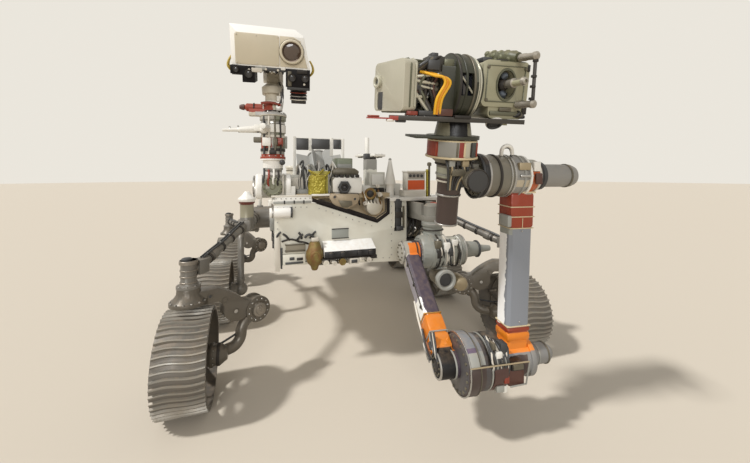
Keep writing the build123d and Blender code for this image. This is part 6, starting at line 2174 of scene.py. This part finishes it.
        parts.blocks(
            4, ((x - 16, -60, 282), (x + 2, 96, 300), OLIVE_TRIM), ((60, 96, 290), (96, 118, 330), DARK),
            ((x - 8, 100, 470), (x + 6, 112, 500), DARK), ((x - 2, -20, 300), (x + 8, 40, 316), CAST),
            ((x - 30, -40, 500), (x - 2, 8, 516), DARK), ((20, -104, 500), (80, -60, 522), BLACK))
        for n in range(5):
            parts.add((BLACK, DARK, CAST)[n % 3], Shop.tube(
                [(60, 70 + 5 * n, 316), (104, 90 + 6 * n, 300 - 6 * n), (90, 60 + 8 * n, 276),
                 (40, 20 + 10 * n, 272)], 5))
        return parts

    def sensor_fittings(self) -> Tray:
        """The sensor's lens, slot, edge frame and clips.

        Returns:
            The pieces, in millimetres.
        """
        parts = Tray()
        parts.add(PALE_RING, Shop.ring(
            (-84, -8, 410), (-84, -16, 410), [(0, 14), (6, 15), (9, 20), (6, 28), (-6, 28)], 40))
        parts.add(BLACK, Shop.ring((-84, -2, 410), (-84, -10, 410), [(0, 6), (3, 7), (3, 14), (0, 15)], 32))
        parts.add(BLUE_GREY, Shop.turned((-84, 2, 410), (-84, -8, 410), [(0, 12), (5, 12), (8, 5)], 28))
        parts.blocks(8, ((-84, -2, 288), (-46, 3, 366), BLACK))
        for y, grow in ((54, 1.5), (30, 1.0)):
            parts.add(PALE_RING if y == 54 else OLIVE_TRIM, Shop.tube(
                [(-96, y, 282 - grow), (96, y, 282 - grow), (120 + grow, y, 306), (120 + grow, y, 468),
                 (96, y, 492 + grow), (-96, y, 492 + grow), (-120 - grow, y, 468), (-120 - grow, y, 306),
                 (-96, y, 282 - grow)], 4, 2, True))
        parts.blocks(
            4, ((92, 66, 340), (112, 130, 352), PALE_RING), ((92, 70, 372), (108, 128, 392), BLACK),
            ((60, 66, 486), (92, 132, 496), OLIVE_TRIM), ((90, 90, 420), (104, 124, 470), OLIVE_TRIM),
            ((-60, 138, 330), (70, 150, 470), DARK))
        return parts


@dataclass
class Rear:
    """The power unit in its cradle, and the antennas on the deck."""

    dish: tuple[float, float] = (-380, 425)
    radio: tuple[float, float] = (-560, -380)

    def build(self) -> None:
        """Finishes the rear nodes and adds their fittings."""
        for node, edge, body, slot, finish in (
            ("power_unit", 2.0, "chassis", "power_grey", POWER_PAINT),
            ("power_cradle", 2.0, "chassis", "white_paint", WHITE),
            ("antenna_post", 2.0, "chassis", "white_paint", WHITE),
            ("radio_antenna", 2.0, "chassis", "beige_paint", BEIGE),
            ("antenna_yoke", 2.0, "antenna_turn", "grey_metal", CAST),
            ("antenna_dish", 2.0, "antenna_tilt", "white_paint", WHITE)
        ):
            Shop.refinish(node, edge, slot, finish, body)
        Shop.register(
            Shop.place(self.power_fittings(), ROVER), "power_unit_fittings", "chassis", "grey_metal")
        Shop.register(
            Shop.place(self.antenna_fittings(), ROVER), "antenna_fittings", "chassis", "grey_metal")
        Shop.register(
            Shop.place(self.dish_fittings(), ROVER), "dish_fittings", "antenna_tilt", "grey_metal")

    def power_fittings(self) -> Tray:
        """Coolant pipes, end cap bolts and struts of the power unit.

        Returns:
            The pieces, in millimetres.
        """
        low = Vector((-985, 0, 1050))
        along = Vector((-cos(radians(45)), 0, sin(radians(45))))
        high = low + along * 640
        parts = Tray([
            Shop.bolts(tuple(high - along * 8), tuple(along), 92, 12, 9, STEEL),
            Shop.band(tuple(low + along * 606), tuple(high), 138, 14, 4, STEEL, 48)])
        for side in (-1, 1):
            parts.append(Shop.bolts((-880, side * 354, 980), (0, side, 0), 60, 8, 9, STEEL))
            y = side * 366
            for n in range(3):
                parts.add(STEEL, Shop.tube(
                    [(-862, y, 800 + 60 * n), (-960, y, 850 + 70 * n), (-1060, y, 900 + 50 * n),
                     (-960, y, 930 + 30 * n), (-870, y, 900 + 40 * n)], 7))
            for n in range(4):
                foot = (-905, side * (140 + 40 * n), 960)
                parts.add((BLACK, STEEL, DARK, STEEL)[n], Shop.tube(
                    [(-852, foot[1], 900), (-880, foot[1], 980), (-905, foot[1] * 0.8, 1030),
                     (-940, foot[1] * 0.5, 1050)], 8))
        return parts

    def antenna_fittings(self) -> Tray:
        """Bolts and bands at the feet of the antennas.

        Returns:
            The pieces, in millimetres.
        """
        parts = Tray([
            Shop.bolts((*self.dish, 1112), (0, 0, 1), 63, 8, 7, STEEL),
            Shop.bolts((*self.radio, 1116), (0, 0, 1), 87, 10, 7, STEEL),
            Shop.band((*self.radio, 1200), (*self.radio, 1214), 78, 12, 4, PALE, 40),
            Shop.band((*self.radio, 1300), (*self.radio, 1314), 78, 10, 4, CAST, 40),
            Shop.band((-640, 469, 1500), (-640, 469, 1512), 27, 8, 3, STEEL, 24)])
        parts.add(BLACK, Shop.tube(
            [(-640, 440, 1108), (-600, 400, 1116), (-500, 380, 1112), (-430, 420, 1130)], 7))
        return parts

    def dish_fittings(self) -> Tray:
        """Ribs and rim screws of the six-sided dish.

        Returns:
            The pieces, in millimetres.
        """
        parts = Tray()
        parts.append(Shop.bolts((*self.dish, 1477), (0, 0, 1), 140, 18, 5, STEEL))
        x, y = self.dish
        for n in range(6):
            angle = radians(60 * n)
            parts.add(CAST, Shop.tube([(x + 84 * cos(angle), y + 84 * sin(angle), 1446),
                                       (x + 138 * cos(angle), y + 138 * sin(angle), 1448)], 6, 2, True))
        return parts


def main() -> None:
    """Builds the studio and every sub-assembly in order."""
    logging.basicConfig(level=logging.INFO, format="%(message)s")
    bpy.context.scene.view_settings.view_transform = "Standard"
    Shop.clear()
    for assembly in (Studio, Wheels, SteeredLegs, Suspension, Body, Mast, Arm, Turret, Rear):
        assembly().build()


if __name__ == "__main__":
    main()
